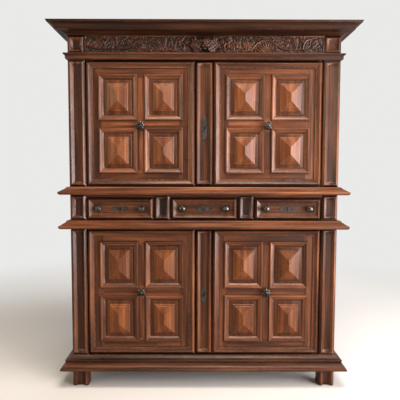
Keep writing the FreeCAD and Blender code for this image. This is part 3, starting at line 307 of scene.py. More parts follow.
pores = noise(figure_group, stretched(figure_group, swayed, PORE_STRETCH),
              1.0, 2.0, 0.6).outputs["Fac"]
pores = ramp(figure_group, pores, 0.56, 0.70)
height = maths(figure_group, "SUBTRACT", maths(figure_group, "MULTIPLY", streaks, STREAK_HEIGHT),
               maths(figure_group, "MULTIPLY", pores, PORE_DEPTH))
put_out(figure_group, figure_out,
        {"Streaks": streaks, "Rings": rings, "Pores": pores, "Height": height})

# %% Group: dust and painted shade in the corners, wear and painted highlight on the arrises
ARRIS_REACH, DEEP_SHADE_REACH = 0.007, 0.055
RAYS = 6

age_and_shade_group, age_and_shade_in, age_and_shade_out = new_group(
    "age_and_shade", {"Reach": (FLOAT, 0.014), "Arris": (FLOAT, 0.0)}, ("Grime And Shade", "Wear And Highlight", "Mottle", "Deep Shade"))
spot = add(age_and_shade_group, "ShaderNodeTexCoord").outputs["Object"]
mottle = noise(age_and_shade_group, spot, 9.0, 5.0, 0.6).outputs["Fac"]
speckle = noise(age_and_shade_group, spot, 70.0, 3.0, 0.6).outputs["Fac"]
hollow = add(age_and_shade_group, "ShaderNodeAmbientOcclusion",
             {"Distance": age_and_shade_in.outputs["Reach"]}, samples=RAYS, only_local=True).outputs["AO"]
proud = add(age_and_shade_group, "ShaderNodeAmbientOcclusion",
            {"Distance": ARRIS_REACH}, samples=RAYS, only_local=True, inside=True).outputs["AO"]
# Grime and painted shade: occlusion within reach darkens the inward corners, broken up by mottle.
grime_and_shade = maths(age_and_shade_group, "MULTIPLY", ramp(age_and_shade_group, hollow, 0.94, 0.55),
              ramp(age_and_shade_group, mottle, 0.25, 0.65, 0.75, 1.0))
# Painted shade: occlusion from every piece within reach darkens recesses and what lies under
# ledges.
deep = add(age_and_shade_group, "ShaderNodeAmbientOcclusion",
           {"Distance": DEEP_SHADE_REACH}, samples=RAYS).outputs["AO"]
deep_shade = maths(age_and_shade_group, "MULTIPLY", ramp(age_and_shade_group, deep, 0.90, 0.30),
             ramp(age_and_shade_group, mottle, 0.25, 0.70, 0.7, 1.0))
# Wear and painted highlight: rounded arrises and proud edges are lightened, broken up by speckle.
edge = maths(age_and_shade_group, "ADD", ramp(age_and_shade_group, proud, 0.45, 0.15, 0.0, 0.6),
             age_and_shade_in.outputs["Arris"], clamp=True)
wear_and_highlight = maths(age_and_shade_group, "MULTIPLY", edge, ramp(age_and_shade_group, speckle, 0.40, 0.62))
put_out(age_and_shade_group, age_and_shade_out, {"Grime And Shade": grime_and_shade, "Wear And Highlight": wear_and_highlight, "Mottle": mottle, "Deep Shade": deep_shade})

# %% A wood finish
WAX_SPECULAR = 0.42
# Strengths of pore dirt, of wear and painted highlight, of painted deep shade, and of grime and
# painted shade.
PORE_DIRT, ARRIS_WEAR_AND_HIGHLIGHT, DEEP_SHADE_STRENGTH, GRIME_AND_SHADE_STRENGTH = 0.55, 0.45, 0.80, 0.94
DUST_DULLS = 0.25


def read(tree, name, output="Fac"):
    """What the mesh has stored under a name, such as a board's tone."""
    return add(tree, "ShaderNodeAttribute", attribute_name=name).outputs[output]


def blank_material(name):
    """A new material, with its tree and its surface node."""
    made = bpy.data.materials.new(name)
    made.use_nodes = True
    return made, made.node_tree, made.node_tree.nodes["Principled BSDF"]


def roughened(tree, surface, height, distance):
    """Gives the surface a fine relief, distance deep where height is 1."""
    relief = add(tree, "ShaderNodeBump", {"Height": height, "Strength": 1.0, "Distance": distance})
    tree.links.new(relief.outputs["Normal"], surface.inputs["Normal"])


def wood(name, deep, middling, pale, worn, dirt_and_shade, gloss, ring_share=0.35, bump=0.00022):
    """A wood material: three tones of figure, arrises worn and given a painted highlight, dirt and
    painted shade in the hollows, uneven wax.
    """
    made, tree, surface = blank_material(name)
    surface.inputs["Specular IOR Level"].default_value = WAX_SPECULAR
    figure = add(tree, "ShaderNodeGroup",
                 {"Along": read(tree, "grain", "Vector")}, node_tree=figure_group)
    age_and_shade = add(tree, "ShaderNodeGroup", {"Arris": read(tree, "arris")}, node_tree=age_and_shade_group)
    share = ramp(tree, figure.outputs["Streaks"], 0.34, 0.66)
    body = colour_mix(tree, share, deep, middling)
    glow = maths(tree, "MULTIPLY", ramp(tree, figure.outputs["Streaks"], 0.50, 0.85),
                 ramp(tree, age_and_shade.outputs["Mottle"], 0.3, 0.7, 0.4, 1.0))
    body = colour_mix(tree, glow, body, pale)

    def covered(under, mask, strength, colour_over):
        """Lays a colour over the wood where a mask is strong."""
        return colour_mix(tree, maths(tree, "MULTIPLY", mask, strength), under, colour_over)

    body = covered(body, figure.outputs["Rings"], ring_share, deep)
    body = covered(body, figure.outputs["Pores"], PORE_DIRT, dirt_and_shade)
    body = add(tree, "ShaderNodeHueSaturation",
               {"Value": read(tree, "tone"), "Color": body}).outputs["Color"]
    # Wear and painted highlight: the arrises are lightened towards the worn colour.
    body = covered(body, age_and_shade.outputs["Wear And Highlight"], ARRIS_WEAR_AND_HIGHLIGHT, worn)
    # Painted shade: recesses and what lies under ledges take the dark colour.
    body = covered(body, age_and_shade.outputs["Deep Shade"], DEEP_SHADE_STRENGTH, dirt_and_shade)
    # Grime and painted shade: the inward corners take the dark colour.
    body = covered(body, age_and_shade.outputs["Grime And Shade"], GRIME_AND_SHADE_STRENGTH, dirt_and_shade)
    tree.links.new(body, surface.inputs["Base Color"])
    low, high = gloss
    sheen = ramp(tree, age_and_shade.outputs["Mottle"], 0.25, 0.75, low, high)
    dulling = maths(tree, "MULTIPLY", age_and_shade.outputs["Grime And Shade"], DUST_DULLS)
    tree.links.new(maths(tree, "ADD", sheen, dulling, clamp=True), surface.inputs["Roughness"])
    roughened(tree, surface, figure.outputs["Height"], bump)
    return made


# %% The three woods: the case, the lighter diamond panels, and the boards inside and behind
walnut = wood(
    "walnut",
    deep=colour(0.050, 0.014, 0.005), middling=colour(0.175, 0.056, 0.020),
    pale=colour(0.340, 0.130, 0.052), worn=colour(0.38, 0.190, 0.115),
    dirt_and_shade=colour(0.010, 0.004, 0.002), gloss=(0.26, 0.42))
panel_walnut = wood(
    "panel walnut",
    deep=colour(0.120, 0.032, 0.009), middling=colour(0.260, 0.080, 0.022),
    pale=colour(0.400, 0.150, 0.048), worn=colour(0.42, 0.200, 0.110),
    dirt_and_shade=colour(0.014, 0.005, 0.002), gloss=(0.24, 0.40))
plain_boards = wood(
    "plain boards",
    deep=colour(0.110, 0.062, 0.034), middling=colour(0.205, 0.125, 0.072),
    pale=colour(0.300, 0.195, 0.120), worn=colour(0.33, 0.23, 0.15),
    dirt_and_shade=colour(0.045, 0.030, 0.020), gloss=(0.62, 0.82), ring_share=0.45, bump=0.0004)
FINISHES = {"walnut": walnut, "panel_walnut": panel_walnut, "plain_boards": plain_boards}
print(f"{len(FINISHES)} woods")

# %% [markdown]
# ## Iron
#
# The knobs and lock plates were forged, blacked and then left to age: bare iron shows only where
# fingers rub the lobes, and the flat plates have gone brown and dull. One material does for both.
# It reads from the mesh how much a face is rubbed, and whether it is part of a plate.

# %% Iron
HAMMER_SCALE, BLOTCH_SCALE = 160.0, 38.0
IRON_REACH = 0.005
STAIN, RUBBED, PLATE_BROWN = 0.4, 0.8, 0.75
PLATE_LESS_METAL, PLATE_DULLER = 0.55, 0.16
DENT_DEPTH = 0.0003

iron, forge, iron_surface = blank_material("iron")
iron_spot = add(forge, "ShaderNodeTexCoord").outputs["Object"]
hammered = noise(forge, iron_spot, HAMMER_SCALE, 4.0, 0.6).outputs["Fac"]
blotch = noise(forge, iron_spot, BLOTCH_SCALE, 5.0, 0.65).outputs["Fac"]
iron_age_and_shade = add(forge, "ShaderNodeGroup", {"Arris": read(forge, "arris"), "Reach": IRON_REACH},
               node_tree=age_and_shade_group)
rust = ramp(forge, blotch, 0.50, 0.66)
plate = read(forge, "plate")
skin = colour_mix(forge, ramp(forge, hammered, 0.3, 0.7), colour(0.012, 0.010, 0.009),
                  colour(0.045, 0.038, 0.033))
skin = colour_mix(forge, maths(forge, "MULTIPLY", rust, STAIN), skin, colour(0.030, 0.018, 0.012))
skin = colour_mix(forge, maths(forge, "MULTIPLY", iron_age_and_shade.outputs["Wear And Highlight"], RUBBED), skin,
                  colour(0.42, 0.38, 0.35))
# Grime and painted shade: the iron is darkened in its inward corners.
skin = colour_mix(forge, iron_age_and_shade.outputs["Grime And Shade"], skin, colour(0.016, 0.012, 0.010))
skin = colour_mix(forge, maths(forge, "MULTIPLY", plate, PLATE_BROWN), skin,
                  colour(0.034, 0.025, 0.020))
forge.links.new(skin, iron_surface.inputs["Base Color"])
metal = maths(forge, "SUBTRACT", ramp(forge, rust, 0.0, 1.0, 0.95, 0.45),
              maths(forge, "MULTIPLY", plate, PLATE_LESS_METAL), clamp=True)
forge.links.new(metal, iron_surface.inputs["Metallic"])
dulled = maths(forge, "ADD", ramp(forge, blotch, 0.3, 0.7, 0.22, 0.42),
               maths(forge, "MULTIPLY", plate, PLATE_DULLER), clamp=True)
forge.links.new(dulled, iron_surface.inputs["Roughness"])
roughened(forge, iron_surface, hammered, DENT_DEPTH)
FINISHES["iron"] = iron
print(f"{len(FINISHES)} finishes, iron with {len(forge.nodes)} nodes")

# %% [markdown]
# ## Finishing a CAD board
#
# A board from the CAD is a closed shell of loose triangles. To finish it, its triangles are welded,
# the flat ones joined into whole faces, and its outer arrises rounded by a plane's stroke. Only the
# outward corners are rounded: an inward corner on a real moulding stays crisp. Boards that touch
# share no corner here, so each is welded by itself, and the small round at its ends leaves the fine
# line of a real joint.

# %% Welding the shells of a node one by one
STEPS_PER_METRE = 1e5
WELD = 2e-6
FLAT = math.radians(0.1)


def number_shells(shape):
    """Numbers the triangles by solid: one solid ends where its surface has closed."""
    mark = shape.faces.layers.int.new("solid")
    open_edges, number = set(), 0
    for face in shape.faces:
        face[mark] = number
        corners = [tuple(round(c * STEPS_PER_METRE) for c in vert.co) for vert in face.verts]
        for pair in zip(corners, corners[1:] + corners[:1]):
            open_edges ^= {frozenset(pair)}
        number += not open_edges
    return mark, number


def welded(node):
    """A copy of a node's mesh in which each solid is one closed shell of whole faces."""
    shape = bmesh.new()
    shape.from_mesh(frame["nodes"][node].data)
    mark, count = number_shells(shape)
    for number in range(count):
        corners = dict.fromkeys(vert for face in shape.faces if face[mark] == number
                                for vert in face.verts)
        bmesh.ops.remove_doubles(shape, verts=list(corners), dist=WELD)
    bmesh.ops.dissolve_limit(shape, angle_limit=FLAT, verts=shape.verts, edges=shape.edges)
    return shape


# %% Rounding the arrises
SHARP = math.radians(20)
ROUND_SEGMENTS = 2


def eased(shape, round_over):
    """Rounds the outward arrises, keeps the inward ones crisp, and marks what was rounded."""
    arris = shape.faces.layers.float.new("arris")
    outward = []
    for edge in shape.edges:
        if edge.is_manifold and edge.calc_face_angle() > SHARP:
            if edge.is_convex:
                outward.append(edge)
            else:
                edge.smooth = False
    rounded = bmesh.ops.bevel(shape, geom=outward, offset=round_over, offset_type="OFFSET",
                              segments=ROUND_SEGMENTS, profile=0.5, affect="EDGES", material=-1,
                              clamp_overlap=False)
    for face in rounded["faces"]:
        face[arris] = 1.0
    for face in shape.faces:
        face.smooth = True
    return shape


# %% Finding the boards in a shape
def islands(shape):
    """The faces of each board, found by walking from face to face."""
    seen = set()
    for first in shape.faces:
        if first in seen:
            continue
        seen.add(first)
        found, waiting = [], [first]
        while waiting:
            face = waiting.pop()
            found.append(face)
            for edge in face.edges:
                for other in edge.link_faces:
                    if other not in seen:
                        seen.add(other)
                        waiting.append(other)
        yield found


def extent(faces):
    """The lowest and highest corner of some faces."""
    places = [vert.co for face in faces for vert in face.verts]
    return (Vector(min(place[axis] for place in places) for axis in range(3)),
            Vector(max(place[axis] for place in places) for axis in range(3)))


# %% [markdown]
# ## Grain
#
# A joiner cuts each rail and stile along the grain, so the figure always runs along the longest
# side. It could be laid with a UV map, but the figure is solid, so each board simply gets
# coordinates of its own: the length first, then where it lay in the log. A moulding that wraps
# round three sides turns its grain at the corners.

# %% Grain and tone for each board
LOG_LENGTH, LOG_DEPTH, LOG_SIDE = (-5, 5), (0.03, 0.16), (-0.12, 0.12)
TONES = (0.88, 1.12)
TENTHS_OF_MM = 1e4
SAME_PLACE = 1e-3


def whereabouts(faces):
    """A key that puts boards in the same order on every run."""
    return [round(c * TENTHS_OF_MM) for corner in extent(faces) for c in corner]


def grained(shape, name, tone_and_light=1.0, wrapped=False):
    """Gives every board its own grain coordinates and a tone a little unlike its neighbours', times
    the part's tone, which for some parts holds painted light and shade.
    """
    grain = shape.loops.layers.float_vector.new("grain")
    tone = shape.faces.layers.float.new("tone")
    draw = random.Random(name)
    low, high = extent(shape.faces)
    for faces in sorted(islands(shape), key=whereabouts):
        board_low, board_high = extent(faces)
        size = board_high - board_low
        long_way = max(range(3), key=lambda axis: size[axis])
        offset = Vector(draw.uniform(*limits) for limits in (LOG_LENGTH, LOG_DEPTH, LOG_SIDE))
        shade = tone_and_light * draw.uniform(*TONES)
        ring = wrapped and (board_low - low).length + (board_high - high).length < SAME_PLACE
        for face in faces:
            way = long_way
            if ring:
                centre = face.calc_center_median()
                beyond = (centre.y - low.y) > (high.x - abs(centre.x))
                way = 1 if beyond else 0
            face[tone] = shade
            for loop in face.loops:
                place = loop.vert.co
                turned = Vector((place[way], place[(way + 1) % 3], place[(way + 2) % 3]))
                loop[grain] = turned - Vector((0, board_low[(way + 1) % 3], 0)) + offset
    return shape


# %% A finished piece
BODY_OF = {node: body for body, nodes in frame["record"]["behaviour"]["bodies"].items()
           for node in nodes}
WIDE_FACES_RULE = 100


def finish_piece(name, shape, body, slot, nodes=()):
    """The mesh as an object that rides on a body, takes a finish, and stands for CAD nodes."""
    mesh = bpy.data.meshes.new(name)
    shape.to_mesh(mesh)
    shape.free()
    mesh.materials.append(FINISHES[slot])
    made = bpy.data.objects.new(name, mesh)
    bpy.context.scene.collection.objects.link(made)
    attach(made, body)
    if nodes:
        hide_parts(*nodes)
    return made


def even_shading(made):
    """Lets the wide faces rule the shading, so that a small round doesn't bend their light."""
    weight = made.modifiers.new("even shading", "WEIGHTED_NORMAL")
    weight.keep_sharp = True
    weight.weight = WIDE_FACES_RULE


# %% [markdown]
# ## Dust, painted shade and lighter door boards
#
# Wax and dust have settled where no cloth reaches, and the sunk grounds behind the ribs and round
# the diamonds are darkened as dust and painted shade. The boards of each door are lighter towards
# its knob and darker at its far edges. Both could be painted, but a few rules about where a face
# lies do it for every door at once.

# %% Dust and painted shade on sunk grounds
BEHIND_RIB = 10 * MM
BEHIND_TERRACE = 23 * MM
FACES_VIEWER = 0.9
# How dark each kind of sunk ground is made, as dust and painted shade.
SUNK_DUST_AND_SHADE = {"post": 0.60, "pilaster": 0.70, "dividers": 0.42, "panels": 0.50}


def sunk_dust_and_shade(shape, node):
    """Darkens what faces the viewer from a sunk ground, as dust and as painted shade."""
    kind = next((word for word in SUNK_DUST_AND_SHADE if word in node), None)
    if kind:
        tone = shape.faces.layers.float["tone"]
        level = "upper" if node.startswith("upper") else "lower"
        line = (extent(shape.faces)[0].y + BEHIND_TERRACE if kind == "panels"
                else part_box(level + "_left_door_frame")[0].y + BEHIND_RIB)
        for face in shape.faces:
            if face.normal.y < -FACES_VIEWER and face.calc_center_median().y > line:
                face[tone] *= SUNK_DUST_AND_SHADE[kind]
    return shape


# %% Door boards lighter towards the knob
KNOB_BOARDS_TONE, EDGE_BOARDS_TONE = 1.66, 1.02


def lighter_towards_knob(shape, node):
    """Lightens the boards of a door round its knob, and leaves its far edges dark."""
    if node.endswith("_door_frame"):
        tone = shape.faces.layers.float["tone"]
        low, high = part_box(node)
        middle, half = (low + high) / 2, (high - low) / 2
        for faces in islands(shape):
            board_low, board_high = extent(faces)
            away = (board_low + board_high) / 2 - middle
            share = min(1.0, max(abs(away.x) / half.x, abs(away.z) / half.z))
            for face in faces:
                face[tone] *= KNOB_BOARDS_TONE + (EDGE_BOARDS_TONE - KNOB_BOARDS_TONE) * share
    return shape


# %% [markdown]
# ## Every board
#
# All the joinery is finished in one pass. The case and doors have a round of under a millimetre,
# which a wax cloth gives an old arris, and the iron has less. Backs, shelves and drawer linings are
# plain sawn boards, and were never meant to be seen. Each piece takes the place of its CAD node and
# rides on the same body.

# %% Boards and mouldings
WRAPPED = {"plinth_base", "plinth_cap", "belt_moulding", "table_top", "frieze_moulding", "cornice"}
ROUND_OVER = {"walnut": 0.7 * MM, "panel_walnut": 0.6 * MM, "plain_boards": 0.9 * MM,
              "iron": 0.3 * MM}
# Tone of some parts, partly their own colour and partly painted light and shade: the table top is
# lightened as lit, the cornice darkened as shaded.
PART_TONE_AND_LIGHT = {
    "cornice": 0.42, "frieze_board": 0.6, "frieze_moulding": 0.85, "table_top": 1.95,
    "belt_moulding": 1.3, "plinth_cap": 0.36, "plinth_base": 0.80, "drawer_dividers": 0.48,
    "upper_pilaster": 0.9, "lower_left_door_panels": 0.88, "lower_right_door_panels": 0.84,
}
KNOBS = sorted(name for name in frame["nodes"] if name.endswith(("_knob", "_knobs")))
MASK_REACH = 100 * MM


def without_mask(shape):
    """The frieze board without its blocked-out mask, which the carving takes the place of."""
    for faces in list(islands(shape)):
        if extent(faces)[1].x < MASK_REACH:
            bmesh.ops.delete(shape, geom=faces, context="FACES")
    return shape


def as_plate(shape):
    """Marks every face as part of a flat plate, which the iron finish makes brown and dull."""
    mark = shape.faces.layers.float.new("plate")
    for face in shape.faces:
        face[mark] = 1.0


faces_made = 0
for node, cad in sorted(frame["nodes"].items()):
    if node in KNOBS:
        continue
    slot = cad.data.materials[0].name
    sawn = without_mask(welded(node)) if node == "frieze_board" else welded(node)
    shape = eased(sawn, ROUND_OVER[slot])
    if slot != "iron":
        grained(shape, node, PART_TONE_AND_LIGHT.get(node, 1.0), node in WRAPPED)
        lighter_towards_knob(sunk_dust_and_shade(shape, node), node)
    elif node.endswith("_lock"):
        as_plate(shape)
    faces_made += len(shape.faces)
    even_shading(finish_piece(node + "_finished", shape, BODY_OF[node], slot, [node]))
print(f"boards finished, {faces_made} faces")

# %% [markdown]
# ## Carving
#
# The frieze is carved from the solid: the carver sinks the ground with a flat gouge, leaves the
# stems standing, and then rounds and veins them. Here each stroke of a stem or a leaf is a tapering
# curve. The strokes and a thin ground are fused by a voxel remesh into one skin, so that they run
# into each other as wood does. The drawing is a running scroll: a bud and a curl by the mask, a
# plume, an arch over a shell, and leaves that lean towards the border.

# %% Drawing a stroke
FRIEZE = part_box("frieze_board")
MASK_PROUD = 44 * MM
FIELD_Y = FRIEZE[0].y + MASK_PROUD
FIELD_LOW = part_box("frieze_moulding")[1].z
FIELD_HIGH = FRIEZE[1].z
FIELD_HALF = FRIEZE[1].x


def path(points):
    """A stroke from (across, up, radius) triples."""
    return [(Vector((across, up)), radius) for across, up, radius in points]


STEPS_PER_TURN, LEAST_STEPS = 10, 6
SPIRAL_TAPER, EYE = 0.45, 1.25


def spiral(centre, outer, inner, start, turns, thick):
    """A stroke that winds in to an eye. Turns below zero wind clockwise."""
    steps = max(LEAST_STEPS, round(abs(turns) * STEPS_PER_TURN))
    stroke = []
    for step in range(steps + 1):
        share = step / steps
        radius = outer + (inner - outer) * share
        angle = math.radians(start) + 2 * math.pi * turns * share
        spot = Vector(centre) + radius * Vector((math.cos(angle), math.sin(angle)))
        stroke.append((spot, thick * (1.0 - SPIRAL_TAPER * share)))
    return stroke + [(Vector(centre), thick * EYE)]


def bowed(base, tip, bend):
    """A function that walks from base to tip along a line bowed to its left by bend."""
    base, tip = Vector(base), Vector(tip)
    side = Vector((base.y - tip.y, tip.x - base.x)).normalized()
    middle = (base + tip) / 2 + side * bend
    return lambda share: (base * (1 - share) ** 2 + 2 * middle * share * (1 - share)
                          + tip * share ** 2)


SPINE = (0, 0.25, 0.5, 0.75, 1)
SPINE_FULL, SPINE_TAPER = 1.05, 0.75
FIRST_LOBE, LOBES_OVER = 0.15, 0.75
LOBE = ((0, 0, 0.6), (0.5, 0.25, 1), (0.95, 0.75, 0.8), (0.9, 1.15, 0.25))


def leaf(base, tip, bend, width, lobes, thick):
    """An acanthus leaf: a bowed spine with fleshy lobes that curl out from both sides."""
    at = bowed(base, tip, bend)
    strokes = [[(at(share), thick * (SPINE_FULL - SPINE_TAPER * share)) for share in SPINE]]
    for number in range(lobes):
        share = FIRST_LOBE + LOBES_OVER * number / lobes
        heading = (at(share + 0.05) - at(share - 0.05)).normalized()
        reach = width * math.sin(math.pi * (0.30 + 0.55 * share))
        for hand in (1, -1):
            out = Vector((-heading.y, heading.x)) * hand
            strokes.append([
                (at(share) + out * reach * aside + heading * reach * ahead, thick * full)
                for aside, ahead, full in LOBE
            ])
    return strokes


SHELL_FROM, SHELL_TO = math.radians(8), math.radians(172)
RIB = ((0.1, 0.425), (0.45, 0.6875), (0.8, 0.95), (1.0, 1.1))


def shell_fan(centre, reach, ribs, thick):
    """Ribs that open like a scallop shell from its hinge."""
    strokes = []
    for number in range(ribs):
        angle = SHELL_FROM + (SHELL_TO - SHELL_FROM) * number / (ribs - 1)
        out = Vector((math.cos(angle), math.sin(angle)))
        strokes.append([(Vector(centre) + out * reach * share, thick * full)
                        for share, full in RIB])
    return strokes


# %% The drawing of one half of the frieze, in millimetres from the middle and from the field's foot
STEMS = [
    [(104, 40, 3), (110, 20, 4.6), (134, 11, 5.4), (168, 14, 5), (196, 24, 4.6), (222, 22, 4.2),
     (258, 14, 4.6), (284, 28, 5), (303, 54, 5.6), (332, 77, 6), (366, 84, 6), (398, 75, 6),
     (426, 54, 5.6), (452, 33, 5), (486, 25, 4.6), (540, 30, 4.6), (590, 26, 4.6), (640, 28, 4.4),
     (674, 38, 4.2), (690, 56, 3)],
    [(168, 16, 4.4), (184, 36, 5), (178, 56, 4.6), (162, 66, 2.6)],
    [(204, 24, 3.6), (219, 46, 4.6), (211, 68, 4), (194, 80, 2.4)],
    [(362, 88, 3), (363, 96, 5.4), (362, 103, 3.2)],
    [(348, 88, 2.6), (343, 97, 3.6)],
    [(376, 88, 2.6), (382, 97, 3.6)],
    [(452, 38, 4.4), (462, 52, 4.6), (472, 54, 4)],
    [(500, 72, 3.6), (512, 87, 4.6), (497, 97, 4), (476, 95, 2.4)],
    [(583, 28, 5.2), (586, 52, 5.6), (596, 74, 6), (622, 89, 5.6), (650, 96, 4), (664, 94, 2)],
    [(590, 62, 4.4), (576, 82, 5), (560, 92, 3)],
]
CURLS = [((136, 46), 22, 6, 240, -1.0, 6.4), ((486, 60), 14, 4, 250, 1.1, 5.2),
         ((618, 56), 15, 4, 200, -1.1, 5.4)]
LEAVES = [
    ((148, 62), (134, 101), -8, 22, 3, 6), ((112, 60), (100, 92), 6, 12, 3, 4.4),
    ((246, 16), (237, 98), -10, 21, 5, 5), ((260, 22), (294, 88), 8, 17, 4, 5),
    ((188, 34), (206, 98), -6, 14, 4, 4.4), ((404, 78), (446, 92), 8, 15, 3, 4.6),
    ((432, 56), (464, 80), 6, 14, 3, 4.4), ((546, 32), (538, 100), 12, 23, 4, 5.4),
    ((640, 32), (668, 76), 8, 17, 4, 4.8), ((694, 48), (678, 99), -4, 11, 4, 4.4),
    ((318, 24), (288, 50), 4, 14, 3, 4), ((322, 90), (292, 101), 3, 9, 3, 3.8),
    ((420, 28), (452, 12), 3, 11, 3, 3.8), ((500, 24), (532, 9), 3, 10, 3, 3.6),
    ((612, 26), (640, 10), 3, 10, 3, 3.6),
]
SHELL = ((364, 14), 46, 9, 5.6)

drawing = [path(points) for points in STEMS] + [spiral(*sizes) for sizes in CURLS]
for sizes in LEAVES:
    drawing += leaf(*sizes)
drawing += shell_fan(*SHELL)
print(f"{len(drawing)} strokes drawn")

# %% [markdown]
# ## Filling the ground
#
# A carver of this time leaves hardly any ground bare: where the big stems leave room, a small curl
# or a leaf goes in. They could all be drawn by hand, but there are over a hundred. So the field is
# divided into small cells, the drawn strokes strike off the cells they cover, and a curl or leaf is
# laid wherever one is left.

# %% Small leaves for the bare places
CELL = 3.0
FIELD_MM = (86, 5, 704, 103)
STROKE_ROOM, FILLER_ROOM = 3.4, 8.5
CURL_SHARE = 0.45
CURL_OUTER, CURL_INNER, CURL_TURNS, CURL_THICK = 7.5, 2.2, 0.85, 3.9
LEANS = (35, 145)
LEAF_BACK, LEAF_AHEAD, LEAF_BEND = 9, 12, 5
SMALL_LEAF = ((0, 1.8), (0.35, 4.2), (0.7, 3.6), (1, 1.2))


def clear_round(bare, spot, reach):
    """Strikes off the cells of the field that lie within reach of a spot."""
    across, up, steps = round(spot.x / CELL), round(spot.y / CELL), math.ceil(reach / CELL)
    for step_x in range(-steps, steps + 1):
        for step_y in range(-steps, steps + 1):
            if math.hypot(step_x, step_y) * CELL <= reach:
                bare.discard((across + step_x, up + step_y))


def leafed(strokes, name):
    """The drawing with small curls and leaves laid wherever it leaves the ground bare."""
    draw = random.Random(name)
    left, foot, right, head = (round(side / CELL) for side in FIELD_MM)
    bare = {(across, up) for across in range(left, right) for up in range(foot, head)}
    for stroke in strokes:
        for (spot, radius), (after, _) in zip(stroke, stroke[1:]):
            steps = max(1, round((after - spot).length / CELL))
            for step in range(steps + 1):
                clear_round(bare, spot.lerp(after, step / steps), radius + STROKE_ROOM)
    added = []
    for cell in draw.sample(sorted(bare), len(bare)):
        if cell not in bare:
            continue
        spot = Vector(cell) * CELL
        hand = draw.choice((-1, 1))
        if draw.random() < CURL_SHARE:
            added.append(spiral(spot, CURL_OUTER, CURL_INNER, draw.uniform(0, 360),
                                hand * CURL_TURNS, CURL_THICK))
        else:
            angle = math.radians(draw.uniform(*LEANS))
            out = Vector((math.cos(angle), math.sin(angle)))
            at = bowed(spot - out * LEAF_BACK, spot + out * LEAF_AHEAD, hand * LEAF_BEND)
            added.append([(at(share), radius) for share, radius in SMALL_LEAF])
        for point, _ in added[-1]:
            clear_round(bare, point, FILLER_ROOM)
    return strokes + added


# %% From strokes to a skin of carved wood
SUNK_SHARE = 0.45


def evaluated(holder):
    """The mesh that an object comes to, once its curve or modifiers are worked out."""
    graph = bpy.context.evaluated_depsgraph_get()
    mesh = bpy.data.meshes.new_from_object(holder.evaluated_get(graph))
    bpy.data.objects.remove(holder)
    return mesh


def stroke_mesh(strokes, hand):
    """The strokes as tubes, lying on the field, mirrored for the left-hand half."""
    line = bpy.data.curves.new("strokes", "CURVE")
    line.dimensions = "3D"
    line.bevel_depth = 1.0
    line.bevel_resolution = 2
    line.use_fill_caps = True
    line.resolution_u = 3
    for stroke in strokes:
        spline = line.splines.new("NURBS")
        spline.points.add(len(stroke) - 1)
        for point, (spot, radius) in zip(spline.points, stroke):
            forward = FIELD_Y - radius * SUNK_SHARE * MM
            point.co = (hand * spot.x * MM, forward, FIELD_LOW + spot.y * MM, 1.0)
            point.radius = radius * MM
        spline.order_u = min(4, len(stroke))
        spline.use_endpoint_u = True
    holder = bpy.data.objects.new("strokes", line)
    bpy.context.scene.collection.objects.link(holder)
    return evaluated(holder)


def slab(shape, low, high):
    """A block between two corners."""
    made = bmesh.ops.create_cube(shape, size=1.0)
    middle = (Vector(low) + Vector(high)) / 2
    for vert in made["verts"]:
        vert.co = middle + Vector(side * (far - near)
                                  for side, near, far in zip(vert.co, low, high))


def fused(shape, voxel, smoothing):
    """The shape remade as one skin, and softened a little."""
    rough = bpy.data.meshes.new("rough")
    shape.to_mesh(rough)
    shape.free()
    holder = bpy.data.objects.new("rough", rough)
    bpy.context.scene.collection.objects.link(holder)
    skin = holder.modifiers.new("skin", "REMESH")
    skin.mode = "VOXEL"
    skin.voxel_size = voxel
    rub = holder.modifiers.new("rub", "SMOOTH")
    rub.factor = 0.5
    rub.iterations = smoothing
    made = bmesh.new()
    made.from_mesh(evaluated(holder))
    for face in made.faces:
        face.smooth = True
    made.faces.layers.float.new("arris")
    return made


# Painted shade: carved wood darkens from its crowns to the tone of its ground over this depth.
CROWN_HEIGHT = 9 * MM
GROUND_SHADE = 0.16


def shaded_to_ground(shape, crown):
    """Darkens carved wood from its crowns to its ground as painted shade."""
    tone = shape.faces.layers.float["tone"]
    for face in shape.faces:
        share = (FIELD_Y - face.calc_center_median().y) / CROWN_HEIGHT
        face[tone] = GROUND_SHADE + (crown - GROUND_SHADE) * min(max(share, 0.0), 1.0)
    return shape


# %% Both halves of the frieze
GROUND_PROUD = 0.8 * MM
GROUND_THICK = 5 * MM
GROUND_MARGIN = 0.5 * MM
MASK_HALF = 52 * MM
VOXEL = 1.45 * MM
CARVING_CROWN = 1.25
HANDS = (("left", -1), ("right", 1))

for side, hand in HANDS:
    shape = bmesh.new()
    shape.from_mesh(stroke_mesh(leafed(drawing, side), hand))
    near, far = sorted((hand * MASK_HALF, hand * (FIELD_HALF - GROUND_MARGIN)))
    slab(shape, (near, FIELD_Y - GROUND_PROUD, FIELD_LOW + GROUND_MARGIN),
         (far, FIELD_Y - GROUND_PROUD + GROUND_THICK, FIELD_HIGH - GROUND_MARGIN))
    carved = shaded_to_ground(grained(fused(shape, VOXEL, 1), "carving"), CARVING_CROWN)
    print(f"frieze_carving_{side}: {len(carved.faces)} faces")
    finish_piece("frieze_carving_" + side, carved, BODY_OF["frieze_board"], "walnut")

# %% Border strips round the carved field
STRIP = 6 * MM
STRIP_ROUND = 1.0 * MM
STRIP_GAP = 0.2 * MM
STRIP_TONE = 0.8
HEAD_STRIP = (FIELD_HIGH - 7 * MM, FIELD_HIGH - 0.4 * MM)
FOOT_STRIP = (FIELD_LOW + 4 * MM, FIELD_LOW + 10 * MM)

